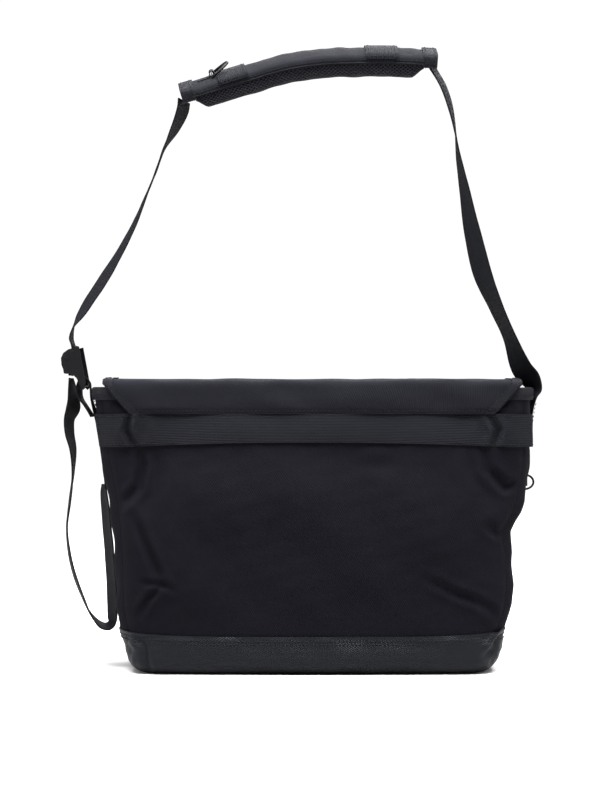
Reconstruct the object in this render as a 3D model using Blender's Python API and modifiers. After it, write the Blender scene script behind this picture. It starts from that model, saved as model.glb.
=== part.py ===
"""Messenger bag with a shoulder strap, as separate sewn and moulded pieces.

Metres, +Z up. The origin is the middle of the base's underside. -Y is the back panel, which lies
against the wearer, +Y the front that the flap hangs over, and +X the side where the strap is sewn on.
"""

import math

import bmesh
import bpy
from mathutils import Matrix, Vector

# ---------------------------------------------------------------- driving sizes
BASE_WIDTH = 0.380  # body across the seam above the base
MOUTH_WIDTH = 0.433
BASE_DEPTH = 0.124
MOUTH_DEPTH = 0.102
BASE_HEIGHT = 0.037  # the coated base, up to its seam
BODY_HEIGHT = 0.277  # top edge of the panels
CORNER_RADIUS = 0.030
WAIST = 0.003  # how far the sides pull in half-way up
SIDE_BULGE = 0.004  # how far front and back swell half-way up
FACE_BOW = 0.004  # how far front and back bow out between the corners
BASE_TAPER = 0.004  # how far the base narrows to its foot, each side
FOOT_ROUND = 0.012  # rounding under the base

PANEL_T = 0.0025
BASE_T = 0.0018
LINING_T = 0.0008
BOARD_T = 0.003
BINDING_T = 0.0012
BINDING_H = 0.011
WEBBING_W = 0.032
WEBBING_T = 0.0014
GAP = 0.0004  # between pieces that lie on each other
TUCK = 0.008  # how deep the panels go inside the base's wall

FLAP_T = 0.0014
FLAP_SIDE = 0.014  # how much narrower than the mouth the flap is, each side
FLAP_CUT = 0.028  # how far its rear corners are cut off, each side
FLAP_SEAM_BELOW = 0.0246  # from the mouth down to the seam that holds it to the back
FLAP_DROP = 0.170  # down the front
FLAP_CORNER = 0.026
FLAP_TAPE_W = 0.010
HINGE_CLEAR = 0.0022  # cloth left out on each side of a fold line, where it bends
HINGE_LIFT = 0.0037  # the rear fold's axis above the ridge, at the cloth's outer corner
PATCH_W = 0.055
PATCH_H = 0.028
PATCH_T = 0.0012
PATCH_SPACING = 0.220

POCKET_WIDTH = 0.330
POCKET_BELOW = 0.066  # from the mouth down to the pocket's top
POCKET_BOTTOM = 0.052

ZIP_BELOW = 0.094
ZIP_LENGTH = 0.250
ZIP_TAPE_H = 0.026
COIL_H = 0.0055
COIL_T = 0.0020
SLIDER_L = 0.011
SLIDER_H = 0.0085
ARCH_HALF = 0.0036
ARCH_RISE = 0.0043
ARCH_R = 0.0007
PULL_L = 0.034
PULL_W = 0.0075
PULL_T = 0.0012
PULL_EYE = 0.0054  # length of the hole in the pull that the slider's arch goes through
PULL_LIFT = 0.0028  # the pull's axis above the slider's foot

DIVIDER_SIDE_GAP = 0.022
DIVIDER_BELOW = 0.058  # from the mouth down to the divider's top
DIVIDER_T = 0.005
DIVIDER_FROM_BACK = 0.020

PAD_WIDTH = 0.058
PAD_TILT = math.radians(18)
RING_WIRE = 0.0028
RING_LEAN = math.radians(26)
SIDE_RING_AT = 0.664  # share of the body's height
SIDE_RING_OUT = 0.0095  # its bar, out from the gusset
RING_LIFT = 0.0058  # the ring's bar above the top of the pad's cover

CHEEK_T = 0.0020
CHEEK_GAP = 0.036  # between the buckle's two cheeks
PIN_R = 0.0018
CAM_R = 0.0045
BUCKLE_TILT = math.radians(-10.4)

STRAP_RISE = 0.2963  # from the mouth to a little under the pad's top
# The strap's way, as (up, out, twist in degrees) at the middle of its width; y is 0. Up is the share of
# the body's height below its mouth, and of the strap's rise above it. Out is measured from the body's
# side, which matters less and less on the way up to the pad.
STRAP_RIGHT = [
    (-0.1929, 0.0069, 0), (-0.0857, 0.0061, 0), (0.0000, 0.0051, 4), (0.0367, 0.0114, 18),
    (0.0767, 0.0111, 30), (0.1767, 0.0207, 18), (0.2800, 0.0301, 22), (0.3800, 0.0393, 29),
    (0.4800, 0.0524, 27), (0.5800, 0.0676, 20), (0.6800, 0.0832, 11), (0.7800, 0.0994, 2),
    (0.8800, 0.1170, -8), (0.9567, 0.1291, -14), (1.0233, 0.1366, -17), (1.0667, 0.1389, -18),
]
STRAP_LEFT = [
    (0.9733, 0.1227, 18), (0.9400, 0.1170, 16), (0.8833, 0.1117, 9), (0.8133, 0.1076, -4),
    (0.7333, 0.0983, -5), (0.6633, 0.0911, -8), (0.5633, 0.0810, -13), (0.4633, 0.0738, -18),
    (0.3633, 0.0702, -23), (0.2633, 0.0685, -20), (0.2133, 0.0673, -8), (0.1733, 0.0622, 0),
]
STRAP_TAIL = [
    (0.0367, 0.0332, 0), (0.0000, 0.0237, 6), (-0.0393, 0.0243, 14), (-0.0714, 0.0275, 30),
    (-0.1107, 0.0326, 22), (-0.1607, 0.0341, 14), (-0.2214, 0.0325, 4), (-0.3071, 0.0352, -4),
    (-0.4000, 0.0399, -8), (-0.5000, 0.0449, -7), (-0.6071, 0.0442, -11), (-0.7071, 0.0389, -12),
    (-0.8000, 0.0304, -8), (-0.8393, 0.0226, 0), (-0.8486, 0.0148, 4), (-0.8321, 0.0093, 8),
    (-0.7714, 0.0086, 14), (-0.6607, 0.0099, 18), (-0.5357, 0.0093, 18), (-0.4429, 0.0078, 12),
    (-0.3786, 0.0060, 4), (-0.3143, 0.0044, 0),
]
# The left anchor: up the gusset, round the buckle's lower bar, and back to the gusset.
ANCHOR_LOOP = [
    (-0.3571, 0.0020, 0), (-0.2857, 0.0017, 0), (-0.2036, 0.0018, 0), (-0.1286, 0.0024, 0),
    (-0.0714, 0.0041, 2), (-0.0321, 0.0052, 4), (0.0000, 0.0047, 4), (0.0227, 0.0106, 4),
    (0.0340, 0.0171, 4), (0.0260, 0.0199, 4), (0.0000, 0.0163, 4), (-0.0321, 0.0162, 2),
    (-0.0571, 0.0127, 0), (-0.0821, 0.0093, 0), (-0.1000, 0.0073, 0),
]
# The webbing's way through the buckle, as (across, along) from the buckle's pin.
IN_BUCKLE = [
    (0.0060, 0.0120), (0.0061, 0.0040), (0.0060, -0.0030), (0.0044, -0.0085), (0.0008, -0.0125),
    (-0.0020, -0.0170),
]
# Middle of the shoulder pad's thickness, as (x, up).
PAD_LINE = [
    (-0.1290, 0.9783), (-0.0980, 1.0073), (-0.0660, 1.0350), (-0.0270, 1.0683), (0.0110, 1.0867),
    (0.0490, 1.0920), (0.0880, 1.0883), (0.1240, 1.0783),
]

# ---------------------------------------------------------------- worked-out sizes
RIDGE_Z = BODY_HEIGHT + 0.0065
FLAP_WIDTH = MOUTH_WIDTH - 2 * FLAP_SIDE  # along the ridge
FLAP_SEAM_WIDTH = FLAP_WIDTH - 2 * FLAP_CUT
FLAP_SEAM_Z = BODY_HEIGHT - FLAP_SEAM_BELOW
POCKET_TOP = BODY_HEIGHT - POCKET_BELOW
ZIP_Z = BODY_HEIGHT - ZIP_BELOW
HINGE_Y = -(MOUTH_DEPTH / 2 + FACE_BOW + GAP + BINDING_T + GAP + FLAP_T + 0.0006)
FOLD_Y = MOUTH_DEPTH / 2 + FACE_BOW + GAP + BINDING_T + GAP + FLAP_T + 0.0020
FLAP_BOTTOM = RIDGE_Z - FLAP_DROP
BUCKLE_AT = Vector((-MOUTH_WIDTH / 2 - 0.0265, 0.0, BODY_HEIGHT + 0.0306))
BAR_AT = (0.0112, -0.0290)  # the lower bar, across and along the buckle from its pin


def clear_scene():
    for old in list(bpy.data.objects):
        bpy.data.objects.remove(old, do_unlink=True)


clear_scene()
BAG = bpy.data.collections.new("messenger_bag")
CUTTERS = bpy.data.collections.new("cutters")
bpy.context.scene.collection.children.link(BAG)
bpy.context.scene.collection.children.link(CUTTERS)


# ---------------------------------------------------------------- materials
def material(name, colour, roughness, metallic=0.0):
    made = bpy.data.materials.new(name)
    made.use_nodes = True
    shader = made.node_tree.nodes["Principled BSDF"]
    shader.inputs["Base Color"].default_value = (*colour, 1.0)
    shader.inputs["Roughness"].default_value = roughness
    shader.inputs["Metallic"].default_value = metallic
    return made


NYLON = material("nylon_twill", (0.030, 0.030, 0.036), 0.75)
WEBBING = material("webbing", (0.034, 0.035, 0.040), 0.70)
COATED = material("coated_base", (0.030, 0.031, 0.036), 0.42)
LINING = material("lining", (0.045, 0.045, 0.050), 0.80)
FOAM = material("foam", (0.060, 0.060, 0.062), 0.90)
MESH = material("air_mesh", (0.012, 0.012, 0.014), 0.90)
METAL = material("black_metal", (0.020, 0.021, 0.023), 0.38, 0.8)
STEEL = material("steel", (0.45, 0.46, 0.48), 0.32, 1.0)
PLASTIC = material("black_plastic", (0.018, 0.018, 0.020), 0.45)
BOARD = material("stiffener", (0.070, 0.070, 0.070), 0.60)


# ---------------------------------------------------------------- building blocks
def lerp(a, b, share):
    return a + (b - a) * share


def smooth(share):
    t = min(1.0, max(0.0, share))
    return t * t * (3 - 2 * t)


def steps(first, last, count):
    return [lerp(first, last, i / count) for i in range(count + 1)]


def add(name, mesh, finish, parent=None, place=None):
    made = bpy.data.objects.new(name, mesh)
    mesh.materials.append(finish)
    BAG.objects.link(made)
    if place is not None:
        made.matrix_world = place
    if parent is not None:
        made.parent = parent
    mesh.shade_smooth()
    mesh.set_sharp_from_angle(angle=math.radians(40))
    return made


def empty(name, place):
    made = bpy.data.objects.new(name, None)
    BAG.objects.link(made)
    made.matrix_world = place
    return made


def sheet_mesh(name, rows, closed=False, keep=None, floor=False):
    """A grid of quads over rows of points. keep(i, j) picks its faces, and floor closes the first row."""
    wide = len(rows[0])
    points = [point for row in rows for point in row]
    faces = []
    for i in range(len(rows) - 1):
        for j in range(wide if closed else wide - 1):
            if keep is None or keep(i, j):
                k = (j + 1) % wide
                faces.append((i * wide + j, i * wide + k, (i + 1) * wide + k, (i + 1) * wide + j))
    if floor:
        faces.append(tuple(reversed(range(wide))))
    mesh = bpy.data.meshes.new(name)
    mesh.from_pydata([tuple(point) for point in points], [], faces)
    work = bmesh.new()
    work.from_mesh(mesh)
    bmesh.ops.delete(work, geom=[v for v in work.verts if not v.link_faces], context="VERTS")
    work.to_mesh(mesh)
    work.free()
    return mesh


def shell(name, rows, thickness, finish, offset=-1.0, **grid):
    """A sheet with a wall: the rows are its outer face where offset is -1, and its middle where it is 0."""
    made = add(name, sheet_mesh(name, rows, **grid), finish)
    wall = made.modifiers.new("wall", "SOLIDIFY")
    wall.thickness = thickness
    wall.offset = offset
    wall.use_even_offset = True
    return made


def turn_on(hub, pieces):
    """Gives the pieces that turn together one parent, which stands on their joint's axis."""
    for piece in pieces:
        piece.parent = hub
        piece.matrix_parent_inverse = hub.matrix_basis.inverted()


def closed_sweep(name, rings, finish):
    """A solid through closed rings of points, with flat ends."""
    mesh = sheet_mesh(name, rings, closed=True, floor=True)
    wide, last = len(rings[0]), (len(rings) - 1) * len(rings[0])
    work = bmesh.new()
    work.from_mesh(mesh)
    work.verts.ensure_lookup_table()
    work.faces.new([work.verts[last + j] for j in range(wide)])
    bmesh.ops.recalc_face_normals(work, faces=work.faces)
    work.to_mesh(mesh)
    work.free()
    return add(name, mesh, finish)


def box(name, low, high, finish, parent=None, round_off=0.0):
    """A box between two corners, with its origin at its middle, or in its parent's axes."""
    low, high = Vector(low), Vector(high)
    mesh = bpy.data.meshes.new(name)
    work = bmesh.new()
    bmesh.ops.create_cube(work, size=1.0)
    bmesh.ops.scale(work, vec=high - low, verts=work.verts)
    work.to_mesh(mesh)
    work.free()
    made = add(name, mesh, finish, parent)
    made.location = (low + high) / 2
    if round_off:
        edge = made.modifiers.new("round", "BEVEL")
        edge.width = round_off
        edge.segments = 2
    return made


def rod(name, radius, length, finish, place, sides=20, parent=None):
    """A cylinder along its own Z, centred at place."""
    mesh = bpy.data.meshes.new(name)
    work = bmesh.new()
    bmesh.ops.create_cone(
        work, cap_ends=True, segments=sides, radius1=radius, radius2=radius, depth=length
    )
    work.to_mesh(mesh)
    work.free()
    made = add(name, mesh, finish)
    made.matrix_world = place
    if parent is not None:
        made.parent = parent
    return made


def mesh_of(drawn, name):
    """Turns a drawn curve into a closed mesh object of its own, and drops the curve."""
    bpy.context.view_layer.update()
    graph = bpy.context.evaluated_depsgraph_get()
    mesh = bpy.data.meshes.new_from_object(drawn.evaluated_get(graph))
    finish = drawn.data.materials[0]
    bpy.data.objects.remove(drawn, do_unlink=True)
    work = bmesh.new()
    work.from_mesh(mesh)
    bmesh.ops.remove_doubles(work, verts=work.verts, dist=1e-5)
    bmesh.ops.recalc_face_normals(work, faces=work.faces)
    work.to_mesh(mesh)
    work.free()
    mesh.materials.clear()
    return add(name, mesh, finish)


def flat_plate(name, outline, half_thickness, finish, place):
    """A flat outline, in the plate's own XY, made as a filled 2D curve and turned to a mesh."""
    curve = bpy.data.curves.new(name, "CURVE")
    curve.dimensions = "2D"
    curve.fill_mode = "BOTH"
    curve.extrude = half_thickness
    line = curve.splines.new("POLY")
    line.points.add(len(outline) - 1)
    for point, (x, y) in zip(line.points, outline, strict=True):
        point.co = (x, y, 0, 1)
    line.use_cyclic_u = True
    curve.materials.append(finish)
    drawn = bpy.data.objects.new(name + "_line", curve)
    BAG.objects.link(drawn)
    made = mesh_of(drawn, name)
    made.matrix_world = place
    return made


def wire(name, points, radius, finish, closed=False, place=None, resolution=3):
    """A bent wire through its points, with filled caps where it is open."""
    curve = bpy.data.curves.new(name, "CURVE")
    curve.dimensions = "3D"
    curve.bevel_depth = radius
    curve.bevel_resolution = resolution
    curve.use_fill_caps = not closed
    line = curve.splines.new("POLY")
    line.points.add(len(points) - 1)
    for point, co in zip(line.points, points, strict=True):
        point.co = (*co, 1)
    line.use_cyclic_u = closed
    curve.materials.append(finish)
    made = bpy.data.objects.new(name, curve)
    BAG.objects.link(made)
    if place is not None:
        made.matrix_world = place
    return made


def as_cutter(cutter):
    BAG.objects.unlink(cutter)
    CUTTERS.objects.link(cutter)
    cutter.hide_render = True
    cutter.display_type = "WIRE"


def cut_from(main, cutter):
    cut = main.modifiers.new("cut_" + cutter.name, "BOOLEAN")
    cut.operation = "DIFFERENCE"
    cut.solver = "EXACT"
    cut.object = cutter
    as_cutter(cutter)


def join(main, *others):
    """Unites others with main, and moves them to the cutters, where they aren't part of the bag."""
    for other in others:
        union = main.modifiers.new("join_" + other.name, "BOOLEAN")
        union.operation = "UNION"
        union.solver = "EXACT"
        union.object = other
        as_cutter(other)


def spline(points, per_span):
    """Points on a smooth curve through the given ones, by Catmull and Rom's formula."""
    ends = [
        [2 * a - b for a, b in zip(points[0], points[1], strict=True)],
        *points,
        [2 * a - b for a, b in zip(points[-1], points[-2], strict=True)],
    ]
    made = []
    for k in range(1, len(ends) - 2):
        for i in range(per_span):
            t = i / per_span
            made.append([
                0.5 * (2 * b + (c - a) * t + (2 * a - 5 * b + 4 * c - d) * t * t
                       + (3 * b - a - 3 * c + d) * t ** 3)
                for a, b, c, d in zip(*ends[k - 1:k + 3], strict=True)
            ])
    return [*made, list(points[-1])]


# ---------------------------------------------------------------- the body's shape
PANEL_Z = [BASE_HEIGHT - TUCK] + [
    BASE_HEIGHT + (BODY_HEIGHT - BASE_HEIGHT) * i / 6 for i in range(7)
]


def body_share(z):
    return (z - BASE_HEIGHT) / (BODY_HEIGHT - BASE_HEIGHT)


def half_width(z):
    share = body_share(z)
    foot = BASE_TAPER * max(0.0, 1 - z / BASE_HEIGHT)
    swell = math.sin(math.pi * min(1.0, max(0.0, share)))
    return lerp(BASE_WIDTH, MOUTH_WIDTH, share) / 2 - WAIST * swell - foot


def half_depth(z):
    share = body_share(z)
    foot = BASE_TAPER * max(0.0, 1 - z / BASE_HEIGHT)
    swell = math.sin(math.pi * min(1.0, max(0.0, share)))
    return lerp(BASE_DEPTH, MOUTH_DEPTH, share) / 2 + SIDE_BULGE * swell - foot


def face_line(which, z, grow=0.0, trim=0.0, count=8, arc=3):
    """One face's points at height z, from seam to seam, where each seam sits half-way round a corner.

    The corners are arcs and the stretch between them bows out on the back and the front.
    """
    long, far = half_width(z), half_depth(z)
    bow = FACE_BOW
    if which in ("left", "right"):
        long, far, bow = far, long, 0.0
    radius, run = CORNER_RADIUS + grow, long - CORNER_RADIUS
    seam = math.pi / 4 - trim / CORNER_RADIUS
    line = []
    for angle in steps(seam, 0.0, arc)[:-1]:
        line.append((-run - radius * math.sin(angle), far - CORNER_RADIUS + radius * math.cos(angle)))
    for s in steps(-run, run, count):
        line.append((s, far + grow + bow * (1 - (s / run) ** 2)))
    for angle in steps(0.0, seam, arc)[1:]:
        line.append((run + radius * math.sin(angle), far - CORNER_RADIUS + radius * math.cos(angle)))
    turn = {
        "back": lambda s, d: (s, -d, z),
        "right": lambda s, d: (d, s, z),
        "front": lambda s, d: (-s, d, z),
        "left": lambda s, d: (-d, -s, z),
    }[which]
    return [turn(s, d) for s, d in line]


def ring_line(z, grow):
    """The whole section at height z, anticlockwise from above."""
    around = []
    for which, count in (("back", 8), ("right", 4), ("front", 8), ("left", 4)):
        around += face_line(which, z, grow, count=count)[:-1]
    return around


def build_body():
    for which, name in (
        ("back", "back_panel"),
        ("front", "front_panel"),
        ("left", "left_gusset"),
        ("right", "right_gusset"),
    ):
        count = 8 if which in ("back", "front") else 4
        rows = [face_line(which, z, trim=GAP, count=count) for z in PANEL_Z]
        shell(name, rows, PANEL_T, NYLON)
    wall = GAP + BASE_T
    foot = [
        (FOOT_ROUND * (1 - math.cos(a)), -FOOT_ROUND * (1 - math.sin(a)))
        for a in steps(0.0, math.pi / 2, 4)
    ]
    profile = [*foot, (BASE_HEIGHT - TUCK, 0.0), (BASE_HEIGHT, 0.0)]
    shell("base_cup", [ring_line(z, wall + inset) for z, inset in profile], BASE_T, COATED,
          closed=True, floor=True)
    board_low = BASE_T + GAP
    closed_sweep("base_board", [
        ring_line(z, -FOOT_ROUND) for z in (board_low, board_low + BOARD_T)
    ], BOARD)
    inside = -(PANEL_T + GAP)
    floor = board_low + BOARD_T + GAP + LINING_T
    lining = [(floor - LINING_T, inside - FOOT_ROUND), (floor + FOOT_ROUND, inside)]
    lining += [(z, inside) for z in PANEL_Z[:-1]] + [(BODY_HEIGHT - 0.002, inside)]
    shell("lining", [ring_line(z, grow) for z, grow in lining], LINING_T, LINING,
          closed=True, floor=True)
    shell("mouth_binding",
          [ring_line(z, GAP + BINDING_T) for z in steps(BODY_HEIGHT - BINDING_H, BODY_HEIGHT - 0.0005, 1)],
          BINDING_T, WEBBING, closed=True)
    return floor


def build_divider(floor):
    """The padded divider stands inside, near the back, with a bound top edge."""
    low = floor + GAP
    back = -(min(half_depth(low), half_depth(BODY_HEIGHT)) - DIVIDER_FROM_BACK)
    top = BODY_HEIGHT - DIVIDER_BELOW
    half = half_width(low) - DIVIDER_SIDE_GAP
    box("inner_divider", (-half, back, low), (half, back + DIVIDER_T, top), LINING, round_off=0.001)
    edge = [(back - GAP - BINDING_T, top - BINDING_H), (back - GAP - BINDING_T, top + GAP + BINDING_T),
            (back + DIVIDER_T + GAP + BINDING_T, top + GAP + BINDING_T),
            (back + DIVIDER_T + GAP + BINDING_T, top - BINDING_H)]
    rows = [[(x, y, z) for y, z in reversed(edge)] for x in (-half, half)]
    shell("divider_binding", rows, BINDING_T, WEBBING)
    build_zip(back + DIVIDER_T, low + 0.020)


def build_back_band():
    low = FLAP_SEAM_Z - GAP - WEBBING_W
    rows = [
        face_line("back", z, grow=GAP + WEBBING_T, trim=GAP, count=8)
        for z in steps(low, FLAP_SEAM_Z - GAP, 2)
    ]
    shell("back_band", rows, WEBBING_T, WEBBING)


# ---------------------------------------------------------------- the front pocket
def pocket_y(z):
    return half_depth(z) + FACE_BOW + GAP + PANEL_T


def on_pocket(name, half_x, heights, thickness, finish, middle_x=0.0, lift=GAP):
    """A flat piece that lies on the pocket's face, over the given heights."""
    grid = [
        [(x, pocket_y(z) + lift + thickness, z) for x in (middle_x + half_x, middle_x - half_x)]
        for z in heights
    ]
    return shell(name, grid, thickness, finish)


def build_front_pocket():
    """An open-topped pocket, with the soft halves of the flap's two closing patches on it."""
    rows = steps(POCKET_BOTTOM, POCKET_TOP, 6)
    on_pocket("front_pocket", POCKET_WIDTH / 2, rows, PANEL_T, NYLON, lift=-PANEL_T)
    edge = [
        (pocket_y(POCKET_TOP - BINDING_H) + GAP + BINDING_T, POCKET_TOP - BINDING_H),
        (pocket_y(POCKET_TOP) + GAP + BINDING_T, POCKET_TOP + GAP + BINDING_T),
        (pocket_y(POCKET_TOP) - PANEL_T * 0.5, POCKET_TOP + GAP + BINDING_T),
    ]
    half = POCKET_WIDTH / 2
    shell("pocket_binding", [[(half, y, z), (-half, y, z)] for y, z in edge], BINDING_T, WEBBING)
    low = FLAP_BOTTOM + 0.014
    for side, name in ((-1, "loop_patch_left"), (1, "loop_patch_right")):
        on_pocket(name, PATCH_W / 2, steps(low, low + PATCH_H, 3), PATCH_T, MESH,
                  middle_x=side * PATCH_SPACING / 2)


# ---------------------------------------------------------------- the zip on the divider
def build_zip(face, low):
    """A flat zipped pocket on the divider's front: face is that front's y, low the pocket's foot."""
    half = ZIP_LENGTH / 2
    y = face + GAP
    box("inner_pocket", (-half - 0.010, y, low), (half + 0.010, y + 0.0012, ZIP_Z - ZIP_TAPE_H / 2), LINING)
    box("zip_tape", (-half, y, ZIP_Z - ZIP_TAPE_H / 2 + GAP), (half, y + 0.0008, ZIP_Z + ZIP_TAPE_H / 2),
        WEBBING)
    y += 0.0008 + GAP
    end = half - 0.006
    box("zip_coil", (-end, y, ZIP_Z - COIL_H / 2), (end, y + COIL_T, ZIP_Z + COIL_H / 2), PLASTIC)
    for side, name in ((-1, "zip_stop_left"), (1, "zip_stop_right")):
        near, far = sorted((side * (end + GAP), side * (half - 0.001)))
        box(name, (near, y, ZIP_Z - COIL_H / 2), (far, y + COIL_T, ZIP_Z + COIL_H / 2), METAL)
    start = end - SLIDER_L / 2
    build_slider(start, y + COIL_T + GAP)


def build_slider(start, face):
    """The slider's plate carries an arch along the zip, and the pull's bar turns under it."""
    hub = empty("zip_slider_hub", Matrix.Translation((start, face, ZIP_Z)))
    plate = box("zip_slider", (-SLIDER_L / 2, 0.0, -SLIDER_H / 2), (SLIDER_L / 2, 0.0016, SLIDER_H / 2),
                METAL, hub, round_off=0.0004)
    arch = mesh_of(wire("slider_arch_line", [
        (ARCH_HALF * math.cos(a), 0.0012 + ARCH_RISE * math.sin(a), 0.0)
        for a in steps(0.0, math.pi, 10)
    ], ARCH_R, METAL, resolution=2), "slider_arch")
    arch.parent = hub
    join(plate, arch)
    turn = Matrix.Translation((start, face + PULL_LIFT, ZIP_Z)) @ Matrix.Rotation(math.pi / 2, 4, "X")
    long = [(-PULL_L, -PULL_W / 2), (0.0008, -PULL_W / 2), (0.0008, PULL_W / 2), (-PULL_L, PULL_W / 2)]
    pull = flat_plate("zip_pull", long, PULL_T / 2, METAL, turn)
    eye = box("pull_eye", (-PULL_EYE, -0.004, -0.0013), (-0.0006, 0.004, 0.0013), METAL)
    eye.location += Vector((start, face + PULL_LIFT, ZIP_Z))
    cut_from(pull, eye)


# ---------------------------------------------------------------- the flap
def flap_half_width(z):
    """Half the flap's width on the front, rounded off at its lower corners."""
    full = FLAP_WIDTH / 2 - 0.004 * (RIDGE_Z - z) / FLAP_DROP
    up = max(0.0, z - FLAP_BOTTOM)
    if up >= FLAP_CORNER:
        return full
    return full - FLAP_CORNER + math.sqrt(FLAP_CORNER ** 2 - (FLAP_CORNER - up) ** 2)


def flap_front_y(z):
    """The inner face of the flap's front: it lies close to the pocket, and leans out to the fold line."""
    hang = pocket_y(min(z, POCKET_TOP)) + 3 * GAP + 2 * PATCH_T
    return lerp(hang, FOLD_Y - FLAP_T / 2, smooth((z - POCKET_TOP) / (RIDGE_Z - POCKET_TOP)))


def flap_back_row(z, half_x, lift=0.0, count=8):
    share = (z - FLAP_SEAM_Z) / (RIDGE_Z - FLAP_SEAM_Z)
    seam_y = -(half_depth(min(z, BODY_HEIGHT)) + FACE_BOW + GAP + FLAP_T)
    y = lerp(seam_y, HINGE_Y - FLAP_T / 2, smooth(share * 3.0))
    return [(x, y - lift, z) for x in steps(-half_x, half_x, count)]


def border(rows, wide, bottom=True):
    """Keeps a grid's outer columns, and its first row where bottom is set."""
    return lambda i, j: j in (0, wide - 2) or (bottom and i == 0)


def tape_columns(half_x, tape):
    """Across a flap: the edge, the tape's inner line, and the same on the other side."""
    inner = max(half_x - tape, 0.25 * half_x)
    return [-half_x, -inner, -0.5 * inner, 0.0, 0.5 * inner, inner, half_x]


def build_flap():
    back_z = steps(FLAP_SEAM_Z + GAP, RIDGE_Z - HINGE_CLEAR, 4)
    halves = [lerp(FLAP_SEAM_WIDTH, FLAP_WIDTH, (z - FLAP_SEAM_Z) / (RIDGE_Z - FLAP_SEAM_Z)) / 2
              for z in back_z]
    shell("flap_back", [flap_back_row(z, h) for z, h in zip(back_z, halves, strict=True)], FLAP_T, NYLON)
    for side, name in ((-1, "flap_back_tape_left"), (1, "flap_back_tape_right")):
        rows = []
        for z, half in zip(back_z, halves, strict=True):
            line = flap_back_row(z, half, GAP + 0.0008)
            edge = [half - FLAP_TAPE_W, half] if side > 0 else [-half, -half + FLAP_TAPE_W]
            rows.append([(x, line[0][1], z) for x in edge])
        shell(name, rows, 0.0008, WEBBING)
    half = FLAP_WIDTH / 2
    top_y = steps(HINGE_Y + HINGE_CLEAR, FOLD_Y - HINGE_CLEAR, 5)
    crown = 0.0016
    top_z = [RIDGE_Z + FLAP_T / 2 + crown * math.sin(math.pi * i / 5) for i in range(6)]
    over = [shell("flap_top", [[(x, y, z) for x in steps(-half, half, 6)]
                               for y, z in zip(top_y, top_z, strict=True)], FLAP_T, NYLON)]
    for side, name in ((-1, "flap_top_tape_left"), (1, "flap_top_tape_right")):
        edge = [half - FLAP_TAPE_W, half] if side > 0 else [-half, -half + FLAP_TAPE_W]
        over.append(shell(name, [[(x, y, z + GAP + 0.0008) for x in edge]
                                 for y, z in zip(top_y, top_z, strict=True)], 0.0008, WEBBING))
    corner = Vector((0.0, HINGE_Y - HINGE_CLEAR, RIDGE_Z + HINGE_LIFT))
    turn_on(empty("flap_hinge_hub", Matrix.Translation(corner)), over)
    low = [FLAP_BOTTOM + FLAP_CORNER * share for share in (0.0, 0.12, 0.35, 0.65, 1.0)]
    front_z = [*low, *steps(FLAP_BOTTOM + FLAP_CORNER, RIDGE_Z - HINGE_CLEAR, 8)[1:]]
    rows = [[(-x, flap_front_y(z) + FLAP_T, z) for x in steps(-flap_half_width(z), flap_half_width(z), 6)]
            for z in front_z]
    front = [shell("flap_front", rows, FLAP_T, NYLON)]
    tape_z = [FLAP_BOTTOM, FLAP_BOTTOM + FLAP_TAPE_W, *[z for z in front_z if z > FLAP_BOTTOM + FLAP_TAPE_W]]
    rows = [[(-x, flap_front_y(z) + FLAP_T + GAP + 0.0008, z)
             for x in tape_columns(flap_half_width(z), FLAP_TAPE_W)] for z in tape_z]
    front.append(shell("flap_front_tape", rows, 0.0008, WEBBING, keep=border(len(rows), 7)))
    for side, name in ((-1, "hook_patch_left"), (1, "hook_patch_right")):
        grid = [
            [(side * PATCH_SPACING / 2 + x, flap_front_y(z) - GAP, z) for x in (PATCH_W / 2, -PATCH_W / 2)]
            for z in steps(FLAP_BOTTOM + 0.014, FLAP_BOTTOM + 0.014 + PATCH_H, 2)
        ]
        front.append(shell(name, grid, PATCH_T, MESH))
    turn_on(empty("flap_fold_hub", Matrix.Translation((0.0, FOLD_Y, RIDGE_Z))), front)


# ---------------------------------------------------------------- webbing
def way_point(side, up, out):
    """A point of the strap's way on one side, as x and z."""
    if up < 0:
        z = BODY_HEIGHT * (1 + up)
        return side * (half_width(z) + out), z
    return side * (MOUTH_WIDTH / 2 * (1 - up) + out), BODY_HEIGHT + STRAP_RISE * up


def way_points(side, way):
    return [(*way_point(side, up, out), twist) for up, out, twist in way]


def pad_line():
    return [(x, BODY_HEIGHT + STRAP_RISE * up) for x, up in PAD_LINE]


def webbing_rows(way, width=WEBBING_W, per_span=3):
    """Rows across a strap that follows way: twist turns its width out of the depth direction."""
    line = spline(way, per_span)
    rows = []
    for k, (x, z, twist) in enumerate(line):
        x0, z0, _ = line[max(k - 1, 0)]
        x1, z1, _ = line[min(k + 1, len(line) - 1)]
        along = Vector((x1 - x0, 0.0, z1 - z0)).normalized()
        across = Vector((-along.z, 0.0, along.x))
        angle = math.radians(twist)
        side = (Vector((0.0, 1.0, 0.0)) * math.cos(angle) + across * math.sin(angle)) * width / 2
        middle = Vector((x, 0.0, z))
        rows.append([tuple(middle - side), tuple(middle), tuple(middle + side)])
    return rows


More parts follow.
